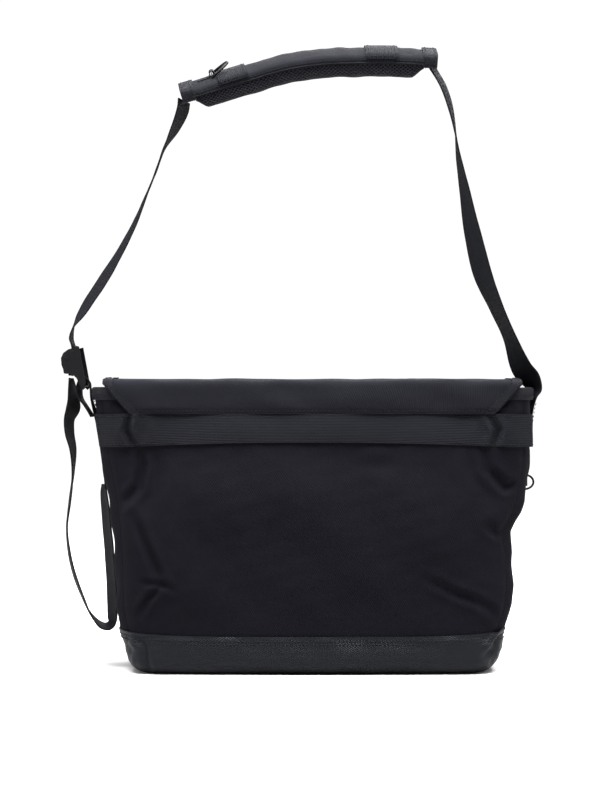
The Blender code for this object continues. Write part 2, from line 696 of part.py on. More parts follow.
def build_strap():
    pad = pad_frames(spline(pad_line(), 4))
    right = webbing_rows(way_points(1, STRAP_RIGHT))
    tilt = Matrix.Rotation(BUCKLE_TILT, 3, "Y")
    inside = [BUCKLE_AT + tilt @ Vector((x, 0.0, z)) for x, z in IN_BUCKLE]
    left = webbing_rows([*way_points(-1, STRAP_LEFT), *[(point.x, point.z, 0) for point in inside]])
    shell("strap_right_run", right, WEBBING_T, WEBBING, offset=0.0)
    shell("strap_left_run", left, WEBBING_T, WEBBING, offset=0.0)
    shell("strap_tail", webbing_rows(way_points(-1, STRAP_TAIL)), WEBBING_T, WEBBING, offset=0.0)
    shell("anchor_webbing", webbing_rows(way_points(-1, ANCHOR_LOOP)), WEBBING_T, WEBBING, offset=0.0)
    rows = [
        [tuple(middle + up * STRAP_IN_PAD + side * WEBBING_W * share) for share in (-0.5, 0.0, 0.5)]
        for middle, _, up, side in pad[2:-2]
    ]
    shell("strap_in_pad", rows, WEBBING_T, WEBBING, offset=0.0)


# ---------------------------------------------------------------- the shoulder pad
STRAP_IN_PAD = 0.0062
COVER_TOP = 0.0095
FOAM_LOW = -0.0095
FOAM_TOP = 0.0040
MESH_T = 0.0015


def pad_frames(line):
    """At each point of the pad's line: the point, the way along, and the pad's own up and side."""
    made = []
    for k, (x, z) in enumerate(line):
        x0, z0 = line[max(k - 1, 0)]
        x1, z1 = line[min(k + 1, len(line) - 1)]
        along = Vector((x1 - x0, 0.0, z1 - z0)).normalized()
        turn = Matrix.Rotation(PAD_TILT, 3, along)
        up = turn @ Vector((-along.z, 0.0, along.x))
        side = turn @ Vector((0.0, 1.0, 0.0))
        made.append((Vector((x, 0.0, z)), along, up, side))
    return made


def pad_stretch(first, last, count):
    """Frames evenly along the pad's line, between two shares of its length."""
    line = spline(pad_line(), 8)
    lengths = [0.0]
    for (x0, z0), (x1, z1) in zip(line, line[1:], strict=False):
        lengths.append(lengths[-1] + math.hypot(x1 - x0, z1 - z0))
    picked = []
    for share in steps(first, last, count):
        want = share * lengths[-1]
        k = max(1, next((i for i, l in enumerate(lengths) if l >= want - 1e-9), len(lengths) - 1))
        t = (want - lengths[k - 1]) / (lengths[k] - lengths[k - 1])
        picked.append((lerp(line[k - 1][0], line[k][0], t), lerp(line[k - 1][1], line[k][1], t)))
    return pad_frames(picked)


def hood(half, top, low, crown, round_r=0.005):
    """An upside-down U across the pad: side, height. It runs from one hem over the top to the other."""
    arc = [(half - round_r + round_r * math.cos(a), top - round_r + round_r * math.sin(a))
           for a in steps(0.0, math.pi / 2, 3)]
    line = [(half, low), *arc, (half * 0.45, top + crown * 0.7), (0.0, top + crown)]
    return [*line, *[(-s, n) for s, n in reversed(line[:-1])]]


def pad_shell(name, frames, section, thickness, finish, scale=None):
    rows = []
    for k, (middle, _, up, side) in enumerate(frames):
        size = 1.0 if scale is None else scale[k]
        rows.append([tuple(middle + side * s * size + up * n) for s, n in section])
    return shell(name, rows, thickness, finish)


def build_pad():
    half = PAD_WIDTH / 2
    whole = pad_stretch(0.045, 0.955, 14)
    body = pad_stretch(0.06, 0.94, 12)
    ellipse = [
        ((half - 0.006) * math.copysign(abs(math.cos(a)) ** 0.6, math.cos(a)),
         (FOAM_TOP + FOAM_LOW) / 2
         + (FOAM_TOP - FOAM_LOW) / 2 * math.copysign(abs(math.sin(a)) ** 0.6, math.sin(a)))
        for a in [2 * math.pi * i / 16 for i in range(16)]
    ]
    closed_sweep("pad_foam", [
        [tuple(middle + side * s + up * n) for s, n in ellipse] for middle, _, up, side in body
    ], FOAM)
    tray_half = half - 0.003
    tray = [(tray_half * math.copysign(abs(math.cos(a)) ** 0.5, math.cos(a)),
             (FOAM_LOW - GAP - MESH_T - FOAM_TOP) * abs(math.sin(a)) ** 0.6 + FOAM_TOP - 0.001)
            for a in steps(math.pi, 2 * math.pi, 10)]
    pad_shell("pad_mesh", body, tray, MESH_T, MESH)
    pad_shell("pad_cover", whole, hood(half, COVER_TOP, 0.0015, 0.0015), FLAP_T, NYLON)
    out = GAP + FLAP_T
    end = hood(half + out, COVER_TOP + out, -0.010, 0.0015)
    pad_shell("pad_end_left", pad_stretch(0.0, 0.052, 2), end, FLAP_T, WEBBING)
    pad_shell("pad_end_right", pad_stretch(0.948, 1.0, 2), end, FLAP_T, WEBBING)
    loop = hood(half + out + 0.0006, COVER_TOP + out + 0.0016, 0.0010, 0.0020)
    pad_shell("pad_loop_left", pad_stretch(0.150, 0.266, 3), loop, WEBBING_T, WEBBING)
    pad_shell("pad_loop_right", pad_stretch(0.727, 0.852, 3), loop, WEBBING_T, WEBBING)


# ---------------------------------------------------------------- rings
def d_outline(half, reach, radius):
    """A D-ring's middle line in its own XY: a straight bar along Y, and its bow towards +X."""
    bar = [(0.0, y) for y in steps(-half, half, 4)]
    bow = [(reach * math.sin(math.pi * t), half * math.cos(math.pi * t)) for t in steps(0, 1, 14)]
    return [(x, y, 0.0) for x, y in [*bar[:-1], *bow[:-1]]]


def build_rings():
    """A ring stands on the shoulder pad and another at the right side, each in a webbing tab."""
    middle, along, up, side = pad_stretch(0.135, 0.135 + 1e-3, 1)[0]
    foot = middle + up * (COVER_TOP + RING_LIFT)
    hook = [(0.0030 * math.cos(a), 0.0030 * math.sin(a))
            for a in steps(math.radians(-50), math.radians(215), 9)]
    hook += [(-0.0044, -0.0027), (-0.0120, -0.0027)]
    tab = [[tuple(foot + along * a + up * n + side * s) for a, n in hook] for s in (-0.006, 0.006)]
    shell("pad_ring_tab", tab, 0.0010, WEBBING)
    out = (along * math.cos(RING_LEAN) + up * math.sin(RING_LEAN)).normalized()
    place = Matrix.Translation(foot) @ Matrix((out, side, out.cross(side))).transposed().to_4x4()
    wire("pad_ring", d_outline(0.0115, 0.0195, RING_WIRE / 2), RING_WIRE / 2, PLASTIC, closed=True,
         place=place)
    return foot


def build_side_ring():
    z = BODY_HEIGHT * SIDE_RING_AT
    x = half_width(z) + SIDE_RING_OUT
    y = 0.004
    hook = [(0.0030 * math.cos(a), 0.0030 * math.sin(a))
            for a in steps(math.radians(-120), math.radians(120), 9)]
    leg = -(SIDE_RING_OUT - 0.0016)
    tab = [[(x + a, y + b, z + h) for a, b in [(leg, hook[0][1]), *hook, (leg, hook[-1][1])]]
           for h in (-0.0040, 0.0040)]
    shell("side_ring_tab", tab, 0.0010, WEBBING, offset=-1.0)
    place = Matrix.Translation((x, y, z)) @ Matrix.Rotation(math.pi / 2, 4, "X")
    wire("side_ring", d_outline(0.0072, 0.0090, 0.0011), 0.0011, METAL, closed=True, place=place)


# ---------------------------------------------------------------- the strap buckle
CHEEK = [
    (0.0140, 0.0090), (0.0140, -0.0270), (0.0128, -0.0325), (0.0105, -0.0340), (0.0085, -0.0310),
    (0.0060, -0.0215), (0.0025, -0.0168), (-0.0045, -0.0150), (-0.0063, -0.0060), (-0.0056, 0.0010),
    (-0.0024, 0.0055), (0.0030, 0.0082),
]


def build_buckle():
    """Two cheeks and a floor hold a sprung cam, and the webbing runs between cam and floor."""
    place = Matrix.Translation(BUCKLE_AT) @ Matrix.Rotation(BUCKLE_TILT, 4, "Y")
    hub = empty("buckle_hub", place)
    upright = Matrix.Rotation(math.pi / 2, 4, "X")
    middle = CHEEK_GAP / 2 + CHEEK_T / 2
    cheeks = []
    for side, name in ((-1, "buckle_frame"), (1, "buckle_cheek_far")):
        at = place @ Matrix.Translation((0.0, side * middle, 0.0)) @ upright
        cheeks.append(flat_plate(name, CHEEK, CHEEK_T / 2, METAL, at))
    frame, far = cheeks
    reach = CHEEK_GAP / 2 + CHEEK_T * 0.6
    floor = box("buckle_floor", (0.0080, -reach, -0.0130), (0.0098, reach, 0.0110), METAL, hub)
    bar = rod("buckle_bar", 0.0020, 2 * reach, METAL,
              place @ Matrix.Translation((BAR_AT[0], 0.0, BAR_AT[1])) @ upright)
    join(frame, far, floor, bar)
    for side in (-1, 1):
        hole = rod(f"pin_hole_{'near' if side < 0 else 'far'}", PIN_R + 0.00004, CHEEK_T * 3, METAL,
                   place @ Matrix.Translation((0.0, side * middle, 0.0)) @ upright)
        cut_from(frame, hole)
    rod("buckle_pin", PIN_R, CHEEK_GAP + 2 * CHEEK_T + 0.0010, STEEL, place @ upright)
    build_cam(place, upright)


def build_cam(place, upright):
    """The cam is a roller with a lever plate below it, bored for the pin."""
    wide = CHEEK_GAP - 2 * 0.0008
    cam = rod("buckle_cam", CAM_R, wide, STEEL, place @ upright, sides=28)
    lever = box("cam_lever", (-0.0062, -wide / 2, -0.0140), (-0.0042, wide / 2, 0.0020), METAL)
    lever.matrix_world = place @ Matrix.Translation((-0.0048, 0.0, -0.0065))
    join(cam, lever)
    bore = rod("cam_bore", PIN_R + 0.00005, wide * 1.5, METAL, place @ upright)
    cut_from(cam, bore)


build_divider(build_body())
build_back_band()
build_front_pocket()
build_flap()
build_strap()
build_pad()
build_rings()
build_side_ring()
build_buckle()
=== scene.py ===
# %% [markdown]
# # A messenger bag, sewn around its frame
# The real bag is nylon twill over thin foam, with a coated base, a webbing band across the back, a
# fold-over flap and a shoulder strap with a curved pad. The frame holds every rigid shape and every
# joint. This lesson sews the cloth, the webbing and the stitches around it with numpy surfaces.

# %% Load the frame
import math

import bpy
import numpy as np
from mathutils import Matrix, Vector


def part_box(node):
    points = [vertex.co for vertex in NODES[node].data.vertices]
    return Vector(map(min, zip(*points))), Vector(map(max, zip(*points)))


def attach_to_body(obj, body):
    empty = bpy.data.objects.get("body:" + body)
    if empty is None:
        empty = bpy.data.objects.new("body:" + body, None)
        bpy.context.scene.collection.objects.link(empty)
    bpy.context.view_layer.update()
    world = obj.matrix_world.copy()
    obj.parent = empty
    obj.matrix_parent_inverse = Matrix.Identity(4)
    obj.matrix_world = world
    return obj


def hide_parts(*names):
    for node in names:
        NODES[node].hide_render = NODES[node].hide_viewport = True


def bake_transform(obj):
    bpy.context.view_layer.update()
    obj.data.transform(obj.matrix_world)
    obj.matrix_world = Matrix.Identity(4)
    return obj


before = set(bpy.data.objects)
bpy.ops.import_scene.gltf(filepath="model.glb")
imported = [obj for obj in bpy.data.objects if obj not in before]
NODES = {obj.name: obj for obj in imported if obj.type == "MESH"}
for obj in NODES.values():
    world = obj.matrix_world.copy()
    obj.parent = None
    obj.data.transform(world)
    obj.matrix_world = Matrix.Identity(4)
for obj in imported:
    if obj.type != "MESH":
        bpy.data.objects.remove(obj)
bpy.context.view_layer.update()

# %% [markdown]
# ## Camera, light and floor
# The camera stands level, behind the bag, a little left of its middle. Black cloth shows its folds only
# under a big soft light from above, so a wide lamp hangs over the bag, a weak one fills from the camera's
# side, and a far one lights the front. The floor and the sky are white to the eye and darker to the bag,
# so that the cloth stays black, and a wide, soft sun straight above keeps the floor white to its far edge.

# %% Camera
CAMERA_AT = (-0.012, -1.95, 0.266)


def make_camera():
    """A level camera behind the bag."""
    data = bpy.data.cameras.new("camera")
    data.lens, data.sensor_width = 87.75, 36.0
    camera = bpy.data.objects.new("camera", data)
    camera.location = CAMERA_AT
    camera.rotation_euler = (math.pi / 2, 0.0, 0.0)
    bpy.context.scene.collection.objects.link(camera)
    bpy.context.scene.camera = camera
    bpy.context.scene.view_settings.view_transform = "Standard"
    bpy.context.scene.view_settings.look = "None"


make_camera()


# %% Lamps, sky and floor
def area_lamp(name, at, aim, size, power):
    """A rectangular lamp at one place, turned towards another; sizes in metres, power in watts."""
    data = bpy.data.lights.new(name, "AREA")
    data.shape, data.size, data.size_y, data.energy = "RECTANGLE", size[0], size[1], power
    lamp = bpy.data.objects.new(name, data)
    way = np.array(aim, float) - np.array(at, float)
    lamp.location = at
    lamp.rotation_euler = (math.atan2(math.hypot(way[0], way[1]), -way[2]), 0.0,
                           math.atan2(way[1], way[0]) - math.pi / 2)
    bpy.context.scene.collection.objects.link(lamp)


def make_sky():
    """White to the eye, dimmer as a light."""
    world = bpy.data.worlds.new("studio")
    world.use_nodes = True
    tree = world.node_tree
    tree.nodes.clear()
    out = tree.nodes.new("ShaderNodeOutputWorld")
    back = tree.nodes.new("ShaderNodeBackground")
    seen = tree.nodes.new("ShaderNodeLightPath")
    level = tree.nodes.new("ShaderNodeMapRange")
    level.inputs["To Min"].default_value = 0.16
    level.inputs["To Max"].default_value = 1.05
    back.inputs["Color"].default_value = (1.0, 1.0, 1.0, 1.0)
    tree.links.new(seen.outputs["Is Camera Ray"], level.inputs["Value"])
    tree.links.new(level.outputs["Result"], back.inputs["Strength"])
    tree.links.new(back.outputs["Background"], out.inputs["Surface"])
    bpy.context.scene.world = world


def make_floor():
    """Paper that is white to the eye and grey as a light, so that little of it shines up on the cloth."""
    mesh = bpy.data.meshes.new("floor")
    side = 6.0
    mesh.from_pydata([(-side, -side, -0.0005), (side, -side, -0.0005), (side, side, -0.0005),
                      (-side, side, -0.0005)], [], [(0, 1, 2, 3)])
    floor = bpy.data.objects.new("floor", mesh)
    bpy.context.scene.collection.objects.link(floor)
    paper = bpy.data.materials.new("floor_paper")
    paper.use_nodes = True
    tree = paper.node_tree
    grey = tree.nodes["Principled BSDF"]
    grey.inputs["Base Color"].default_value = (0.50, 0.50, 0.50, 1.0)
    grey.inputs["Roughness"].default_value = 0.9
    grey.inputs["Specular IOR Level"].default_value = 0.1
    white = tree.nodes.new("ShaderNodeBsdfDiffuse")
    white.inputs["Color"].default_value = (0.96, 0.96, 0.96, 1.0)
    seen = tree.nodes.new("ShaderNodeLightPath")
    either = tree.nodes.new("ShaderNodeMixShader")
    tree.links.new(seen.outputs["Is Camera Ray"], either.inputs[0])
    tree.links.new(grey.outputs["BSDF"], either.inputs[1])
    tree.links.new(white.outputs["BSDF"], either.inputs[2])
    tree.links.new(either.outputs["Shader"], tree.nodes["Material Output"].inputs["Surface"])
    mesh.materials.append(paper)


def overhead_sun():
    """An even, soft light straight down, which keeps the paper white to its far edge."""
    data = bpy.data.lights.new("overhead_sun", "SUN")
    data.energy, data.angle = 3.2, math.radians(70)
    sun = bpy.data.objects.new("overhead_sun", data)
    bpy.context.scene.collection.objects.link(sun)


for name, at, aim, size, power in (
        ("top_lamp", (0.05, -0.50, 1.60), (0.0, 0.0, 0.2), (1.7, 0.9), 75.0),
        ("camera_side_lamp", (-0.3, -1.9, 1.5), (0.0, 0.0, 0.25), (1.4, 0.9), 6.0),
        ("far_side_lamp", (0.3, 1.9, 1.5), (0.0, 0.0, 0.25), (1.4, 0.9), 26.0),
        ("left_card", (-1.3, 0.05, 0.30), (-0.2, 0.0, 0.12), (0.7, 0.7), 5.0),
        ("right_card", (1.3, 0.05, 0.30), (0.2, 0.0, 0.12), (0.7, 0.7), 4.0)):
    area_lamp(name, at, aim, size, power)
    print(name, power, "W")
overhead_sun()
make_sky()
make_floor()


# %% [markdown]
# ## Surfaces from numbers
# A sewn piece is a sheet, and a sheet is a point for each pair of numbers (i, j). One helper turns such a
# grid into a mesh. A second one gives the sheet its thickness, by copying the grid along its normals and
# closing the rim, so each piece is one closed skin. A third carries a ring of points along a path, for
# webbing and piping. Each piece brings its UV in metres, so that one weave fits all.

# %% Meshes from grids
def grid_faces(n, m, wrap, first=0, flip=False):
    """Quads (i, j), (i, j+1), (i+1, j+1), (i+1, j) over n rows of m points; wrap joins last to first."""
    i, j = np.meshgrid(np.arange(n - 1), np.arange(m if wrap else m - 1), indexing="ij")
    k = (j + 1) % m
    quads = np.stack([i * m + j, i * m + k, (i + 1) * m + k, (i + 1) * m + j], -1).reshape(-1, 4) + first
    return quads[:, ::-1] if flip else quads


def volume(points, quads):
    """The signed volume inside a closed mesh, from the tetrahedra that its quads' halves make."""
    a, b, c, d = (points[quads[:, k]] for k in range(4))
    halves = np.einsum("ij,ij->i", a, np.cross(b, c)) + np.einsum("ij,ij->i", a, np.cross(c, d))
    return halves.sum() / 6


def to_object(name, points, quads, uv, finish, sharp=50, period=0.0):
    """A mesh object of these points and quads (a quad may repeat its last corner), faces outwards.

    Where u wraps round, a quad with one foot on each side of the jump takes its low corners a period on.
    """
    points = np.asarray(points, float).reshape(-1, 3)
    if volume(points, quads) < 0:
        quads = quads[:, ::-1]
    keep = np.ones(quads.shape, bool)
    keep[:, 3] = quads[:, 2] != quads[:, 3]
    keep[:, 0] = quads[:, 0] != quads[:, 1]
    sizes = np.where(keep.all(1), 4, 3)
    corners = quads[keep]
    flat = np.asarray(uv, float).reshape(-1, 2)[quads]
    if period:
        u = flat[..., 0]
        jump = (u.max(1) - u.min(1) > period / 2)[:, None] & (u < u.mean(1, keepdims=True))
        flat[..., 0] = u + period * jump
    mesh = bpy.data.meshes.new(name)
    mesh.vertices.add(len(points))
    mesh.vertices.foreach_set("co", points.astype(np.float32).ravel())
    mesh.loops.add(len(corners))
    mesh.loops.foreach_set("vertex_index", corners.astype(np.int32))
    mesh.polygons.add(len(sizes))
    mesh.polygons.foreach_set("loop_start", (np.cumsum(sizes) - sizes).astype(np.int32))
    mesh.polygons.foreach_set("use_smooth", np.full(len(sizes), True))
    mesh.update(calc_edges=True)
    layer = mesh.uv_layers.new(name="UVMap")
    layer.data.foreach_set("uv", flat[keep].astype(np.float32).ravel())
    mesh.validate()
    mesh.set_sharp_from_angle(angle=math.radians(sharp))
    made = bpy.data.objects.new(name, mesh)
    bpy.context.scene.collection.objects.link(made)
    mesh.materials.append(finish)
    return made


def unit(ways):
    """Each vector divided by its own length."""
    return ways / np.maximum(np.linalg.norm(ways, axis=-1, keepdims=True), 1e-12)


def normals(grid, wrap=False):
    """Unit normals of a grid: the way along j crossed with the way along i."""
    along_j = (np.roll(grid, -1, 1) - np.roll(grid, 1, 1)) / 2 if wrap else np.gradient(grid, axis=1)
    return unit(np.cross(along_j, np.gradient(grid, axis=0)))


def flat_uv(u, v):
    """UV from a u and a v of matching shapes, such as a row and a column."""
    return np.stack(np.broadcast_arrays(u, v), -1)


def lengths_uv(grid):
    """UV in metres: the mean distance travelled along j, and along i."""
    step_j = np.linalg.norm(np.diff(grid, axis=1), axis=-1)
    step_i = np.linalg.norm(np.diff(grid, axis=0), axis=-1)
    u = np.concatenate([[0], np.cumsum(step_j.mean(0))])
    v = np.concatenate([[0], np.cumsum(step_i.mean(1))])
    return flat_uv((u - u.mean())[None, :], v[:, None])


def thick_sheet(name, grid, wall, finish, wrap=False, uv=None, sharp=50, period=0.0):
    """Outer skin = the grid; inner skin = grid - wall * normal; strips close the rim between them."""
    n, m = grid.shape[:2]
    wall = np.broadcast_to(np.asarray(wall, float), (n, m))[..., None]
    inner = grid - normals(grid, wrap) * wall
    uv = lengths_uv(grid) if uv is None else uv
    quads = [grid_faces(n, m, wrap), grid_faces(n, m, wrap, first=n * m, flip=True)]
    j = np.arange(m if wrap else m - 1)
    k = (j + 1) % m
    for row, turn in ((0, False), (n - 1, True)):
        strip = np.stack([row * m + j, n * m + row * m + j, n * m + row * m + k, row * m + k], -1)
        quads.append(strip[:, ::-1] if turn else strip)
    if not wrap:
        i = np.arange(n - 1)
        for column, turn in ((0, True), (m - 1, False)):
            a, b = i * m + column, (i + 1) * m + column
            strip = np.stack([a, n * m + a, n * m + b, b], -1)
            quads.append(strip[:, ::-1] if turn else strip)
    return to_object(name, np.concatenate([grid.reshape(-1, 3), inner.reshape(-1, 3)]),
                     np.concatenate(quads), np.concatenate([uv.reshape(-1, 2)] * 2), finish, sharp=sharp,
                     period=period)


def tube(name, rings, finish, uv=None, sharp=60):
    """A closed skin through rings of points, with a fan to its middle at each end."""
    n, m = rings.shape[:2]
    uv = lengths_uv(rings) if uv is None else uv
    points = np.concatenate([rings.reshape(-1, 3), rings[:1].mean(1), rings[-1:].mean(1)])
    flat = np.concatenate([uv.reshape(-1, 2), uv[:1].mean(1), uv[-1:].mean(1)])
    j = np.arange(m)
    k, last, start, end = (j + 1) % m, (n - 1) * m, np.full(m, n * m), np.full(m, n * m + 1)
    quads = [grid_faces(n, m, True), np.stack([k, j, start, start], -1),
             np.stack([last + j, last + k, end, end], -1)]
    return to_object(name, points, np.concatenate(quads), flat, finish, sharp=sharp)


def attach(piece, slot, *nodes, body="bag"):
    """Puts a piece on its body and hides the frame's nodes that it stands for; slot is not used."""
    if body:
        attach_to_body(piece, body)
    if nodes:
        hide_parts(*nodes)
    return piece


def box_of(node):
    """The lowest and highest corner of a node of the frame."""
    return [np.array(corner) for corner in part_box(node)]


# %% Paths and small waves
def smooth(share):
    """0 before 0, 1 after 1, and 3t^2 - 2t^3 between."""
    t = np.clip(share, 0.0, 1.0)
    return t * t * (3 - 2 * t)


def lerp(a, b, share):
    """a at share 0, b at share 1, and a straight line between."""
    return a + (b - a) * share


def spline(points, per_span):
    """Catmull and Rom's curve through the points, per_span steps for each of their spans."""
    p = np.asarray(points, float)
    p = np.concatenate([[2 * p[0] - p[1]], p, [2 * p[-1] - p[-2]]])
    t = (np.arange(per_span) / per_span)[None, :, None]
    a, b, c, d = p[:-3, None], p[1:-2, None], p[2:-1, None], p[3:, None]
    curve = 0.5 * (2 * b + (c - a) * t + (2 * a - 5 * b + 4 * c - d) * t ** 2
                   + (3 * b - a - 3 * c + d) * t ** 3)
    return np.concatenate([curve.reshape(-1, p.shape[1]), p[-2:-1]])


def travelled(path):
    """The distance along a path to each of its points."""
    return np.concatenate([[0], np.cumsum(np.linalg.norm(np.diff(path, axis=0), axis=1))])


def read_at(at, way, columns):
    """Each column of a table, read at other distances than its own."""
    return np.stack([np.interp(at, way, columns[:, k]) for k in range(columns.shape[1])], -1)


def evenly(path, count):
    """count points at equal distances along a path."""
    way = travelled(path)
    return read_at(np.linspace(0, way[-1], count), way, path)


def ripples(x, y, size, count=14, seed=1):
    """A sum of sine waves of random ways and phases, about as long as size, between -1 and 1."""
    random = np.random.default_rng(seed)
    turn, phase = random.uniform(0, 2 * np.pi, (2, count))
    pitch = size * random.uniform(0.6, 1.7, count)
    total = 0.0
    for a, p, l in zip(turn, phase, pitch):
        total = total + np.sin(2 * np.pi * (x * np.cos(a) + y * np.sin(a)) / l + p)
    return total / np.sqrt(count) / 1.5


def near_line(x, y, line):
    """Distance from each (x, y) to a polyline, and the share of the way along it."""
    line = np.asarray(line, float)
    way = travelled(line)
    best, share = np.full(np.shape(x), 1e9), np.zeros(np.shape(x))
    for k in range(len(line) - 1):
        ax, ay = line[k]
        dx, dy = line[k + 1] - line[k]
        t = np.clip(((x - ax) * dx + (y - ay) * dy) / (dx * dx + dy * dy), 0, 1)
        away = np.hypot(x - ax - t * dx, y - ay - t * dy)
        share = np.where(away < best, (way[k] + t * (way[k + 1] - way[k])) / way[-1], share)
        best = np.minimum(best, away)
    return best, share


def crease(x, y, line, depth, width, lip=0.45):
    """A valley along a line, gaussian across, with a low lip beside it, fading out at its two ends."""
    away, share = near_line(x, y, line)
    fade = np.sin(np.pi * np.clip(share, 0.02, 0.98)) ** 0.5
    valley = -np.exp(-(away / width) ** 2)
    side = lip * np.exp(-((away - 1.9 * width) / width) ** 2)
    return depth * (valley + side) * fade


# %% [markdown]
# ## Finishes
# Nylon twill is yarns that pass over two and under one, which draws fine slanting lines. Webbing is the
# same yarn in lengthwise ribs. The base is cloth pressed with small diamonds and coated, and the pad's
# underside is an open mesh. Each of these patterns is a node group, made once, that reads UV in metres.
# A last group breaks up every colour with faint lint and rub marks, because black cloth is never even.

# %% Node groups
def group(name, inputs, outputs):
    """An empty shader group with these float or vector sockets."""
    made = bpy.data.node_groups.new(name, "ShaderNodeTree")
    for label, kind, value in inputs:
        socket = made.interface.new_socket(label, in_out="INPUT", socket_type=kind)
        if value is not None:
            socket.default_value = value
    for label, kind in outputs:
        made.interface.new_socket(label, in_out="OUTPUT", socket_type=kind)
    return made, made.nodes.new("NodeGroupInput"), made.nodes.new("NodeGroupOutput")


class Tree:
    """Short ways to add nodes to a tree."""

    def __init__(self, tree):
        self.tree = tree

    def fill(self, node, inputs):
        """Each input takes a link from a socket, or a value."""
        for k, value in (inputs.items() if isinstance(inputs, dict) else enumerate(inputs)):
            if isinstance(value, bpy.types.NodeSocket):
                self.tree.links.new(value, node.inputs[k])
            else:
                node.inputs[k].default_value = value

    def put(self, kind, inputs=(), **settings):
        node = self.tree.nodes.new(kind)
        for key, value in settings.items():
            setattr(node, key, value)
        self.fill(node, inputs)
        return node

    def noise(self, place, scale, detail):
        inputs = {"Vector": place, "Scale": scale, "Detail": detail}
        return self.put("ShaderNodeTexNoise", inputs).outputs["Fac"]

    def math(self, operation, *values):
        return self.put("ShaderNodeMath", values, operation=operation).outputs[0]

    def wave(self, value, pitch):
        """0.5 + 0.5 sin(2 pi value / pitch)"""
        turn = self.math("MULTIPLY", self.math("DIVIDE", value, pitch), 2 * math.pi)
        return self.math("MULTIPLY_ADD", self.math("SINE", turn), 0.5, 0.5)

    def split(self, vector):
        return self.put("ShaderNodeSeparateXYZ", [vector]).outputs


PATTERN_IN = [("Vector", "NodeSocketVector", None), ("Pitch", "NodeSocketFloat", 0.001)]
PATTERN_OUT = [("Height", "NodeSocketFloat"), ("Shade", "NodeSocketFloat")]


def pattern_group(name, height_of, power=None):
    """Height by a rule of u, v and the pitch; Shade, for the colour, is that height to a power."""
    made, into, out = group(name, PATTERN_IN, PATTERN_OUT)
    t = Tree(made)
    x, y, _ = t.split(into.outputs["Vector"])
    height = height_of(t, x, y, into.outputs["Pitch"])
    made.links.new(height, out.inputs["Height"])
    made.links.new(t.math("POWER", height, power) if power else height, out.inputs["Shade"])
    return made


def twill_height(t, x, y, pitch):
    """Slanting lines at twice the pitch, broken by the single yarns."""
    slant = t.wave(t.math("MULTIPLY_ADD", y, 0.62, x), t.math("MULTIPLY", pitch, 2.1))
    yarn = t.math("MULTIPLY", t.wave(x, pitch), t.wave(y, pitch))
    return t.math("MULTIPLY_ADD", yarn, 0.5, t.math("MULTIPLY", slant, 0.5))


def rib_height(t, x, y, pitch):
    """Lengthwise ribs across u, each one broken along v by its yarns."""
    yarn = t.wave(t.math("MULTIPLY_ADD", x, 0.9, y), t.math("MULTIPLY", pitch, 0.62))
    return t.math("MULTIPLY_ADD", t.wave(x, pitch), 0.65, t.math("MULTIPLY", yarn, 0.35))


def diamond_height(t, x, y, pitch):
    """Raised diamonds: the product of two slanting waves."""
    one, two = (t.wave(t.math(way, x, y), pitch) for way in ("ADD", "SUBTRACT"))
    return t.math("POWER", t.math("MULTIPLY", one, two), 0.7)


def thread_height(t, x, y, pitch):
    """Threads round open cells: high where either slanting wave is near its top."""
    one, two = (t.math("POWER", t.wave(t.math("MULTIPLY_ADD", y, slant, x), pitch), 4.0)
                for slant in (0.75, -0.75))
    return t.math("MAXIMUM", one, two)


def rub_group():
    """Soft blotches and specks of lint on Object coordinates: Tone around 1, and Bump for slack cloth."""
    made, into, out = group("rub_and_lint", [
        ("Vector", "NodeSocketVector", None), ("Blotch", "NodeSocketFloat", 0.2),
        ("Lint", "NodeSocketFloat", 0.15)], [("Tone", "NodeSocketFloat"), ("Slack", "NodeSocketFloat")])
    t = Tree(made)
    place = into.outputs["Vector"]
    cloud, speck, slack = (t.noise(place, *sizes) for sizes in ((22.0, 4.0), (900.0, 2.0), (48.0, 3.0)))
    soft = t.math("MULTIPLY_ADD", t.math("SUBTRACT", cloud, 0.5), into.outputs["Blotch"], 1.0)
    lint = t.math("MULTIPLY", t.math("GREATER_THAN", speck, 0.68), into.outputs["Lint"])
    made.links.new(t.math("ADD", soft, lint), out.inputs["Tone"])
    made.links.new(slack, out.inputs["Slack"])
    return made


GROUPS = {"twill": pattern_group("twill_yarns", twill_height, 1.6),
          "ribs": pattern_group("webbing_ribs", rib_height, 1.4),
          "diamonds": pattern_group("pressed_diamonds", diamond_height),
          "mesh": pattern_group("mesh_threads", thread_height), "rub": rub_group()}
print("node groups:", ", ".join(g.name for g in GROUPS.values()))


# %% Cloth materials
def new_material(name):
    """A material with nodes, its tree and its shader."""
    made = bpy.data.materials.new(name)
    made.use_nodes = True
    return made, Tree(made.node_tree), made.node_tree.nodes["Principled BSDF"]


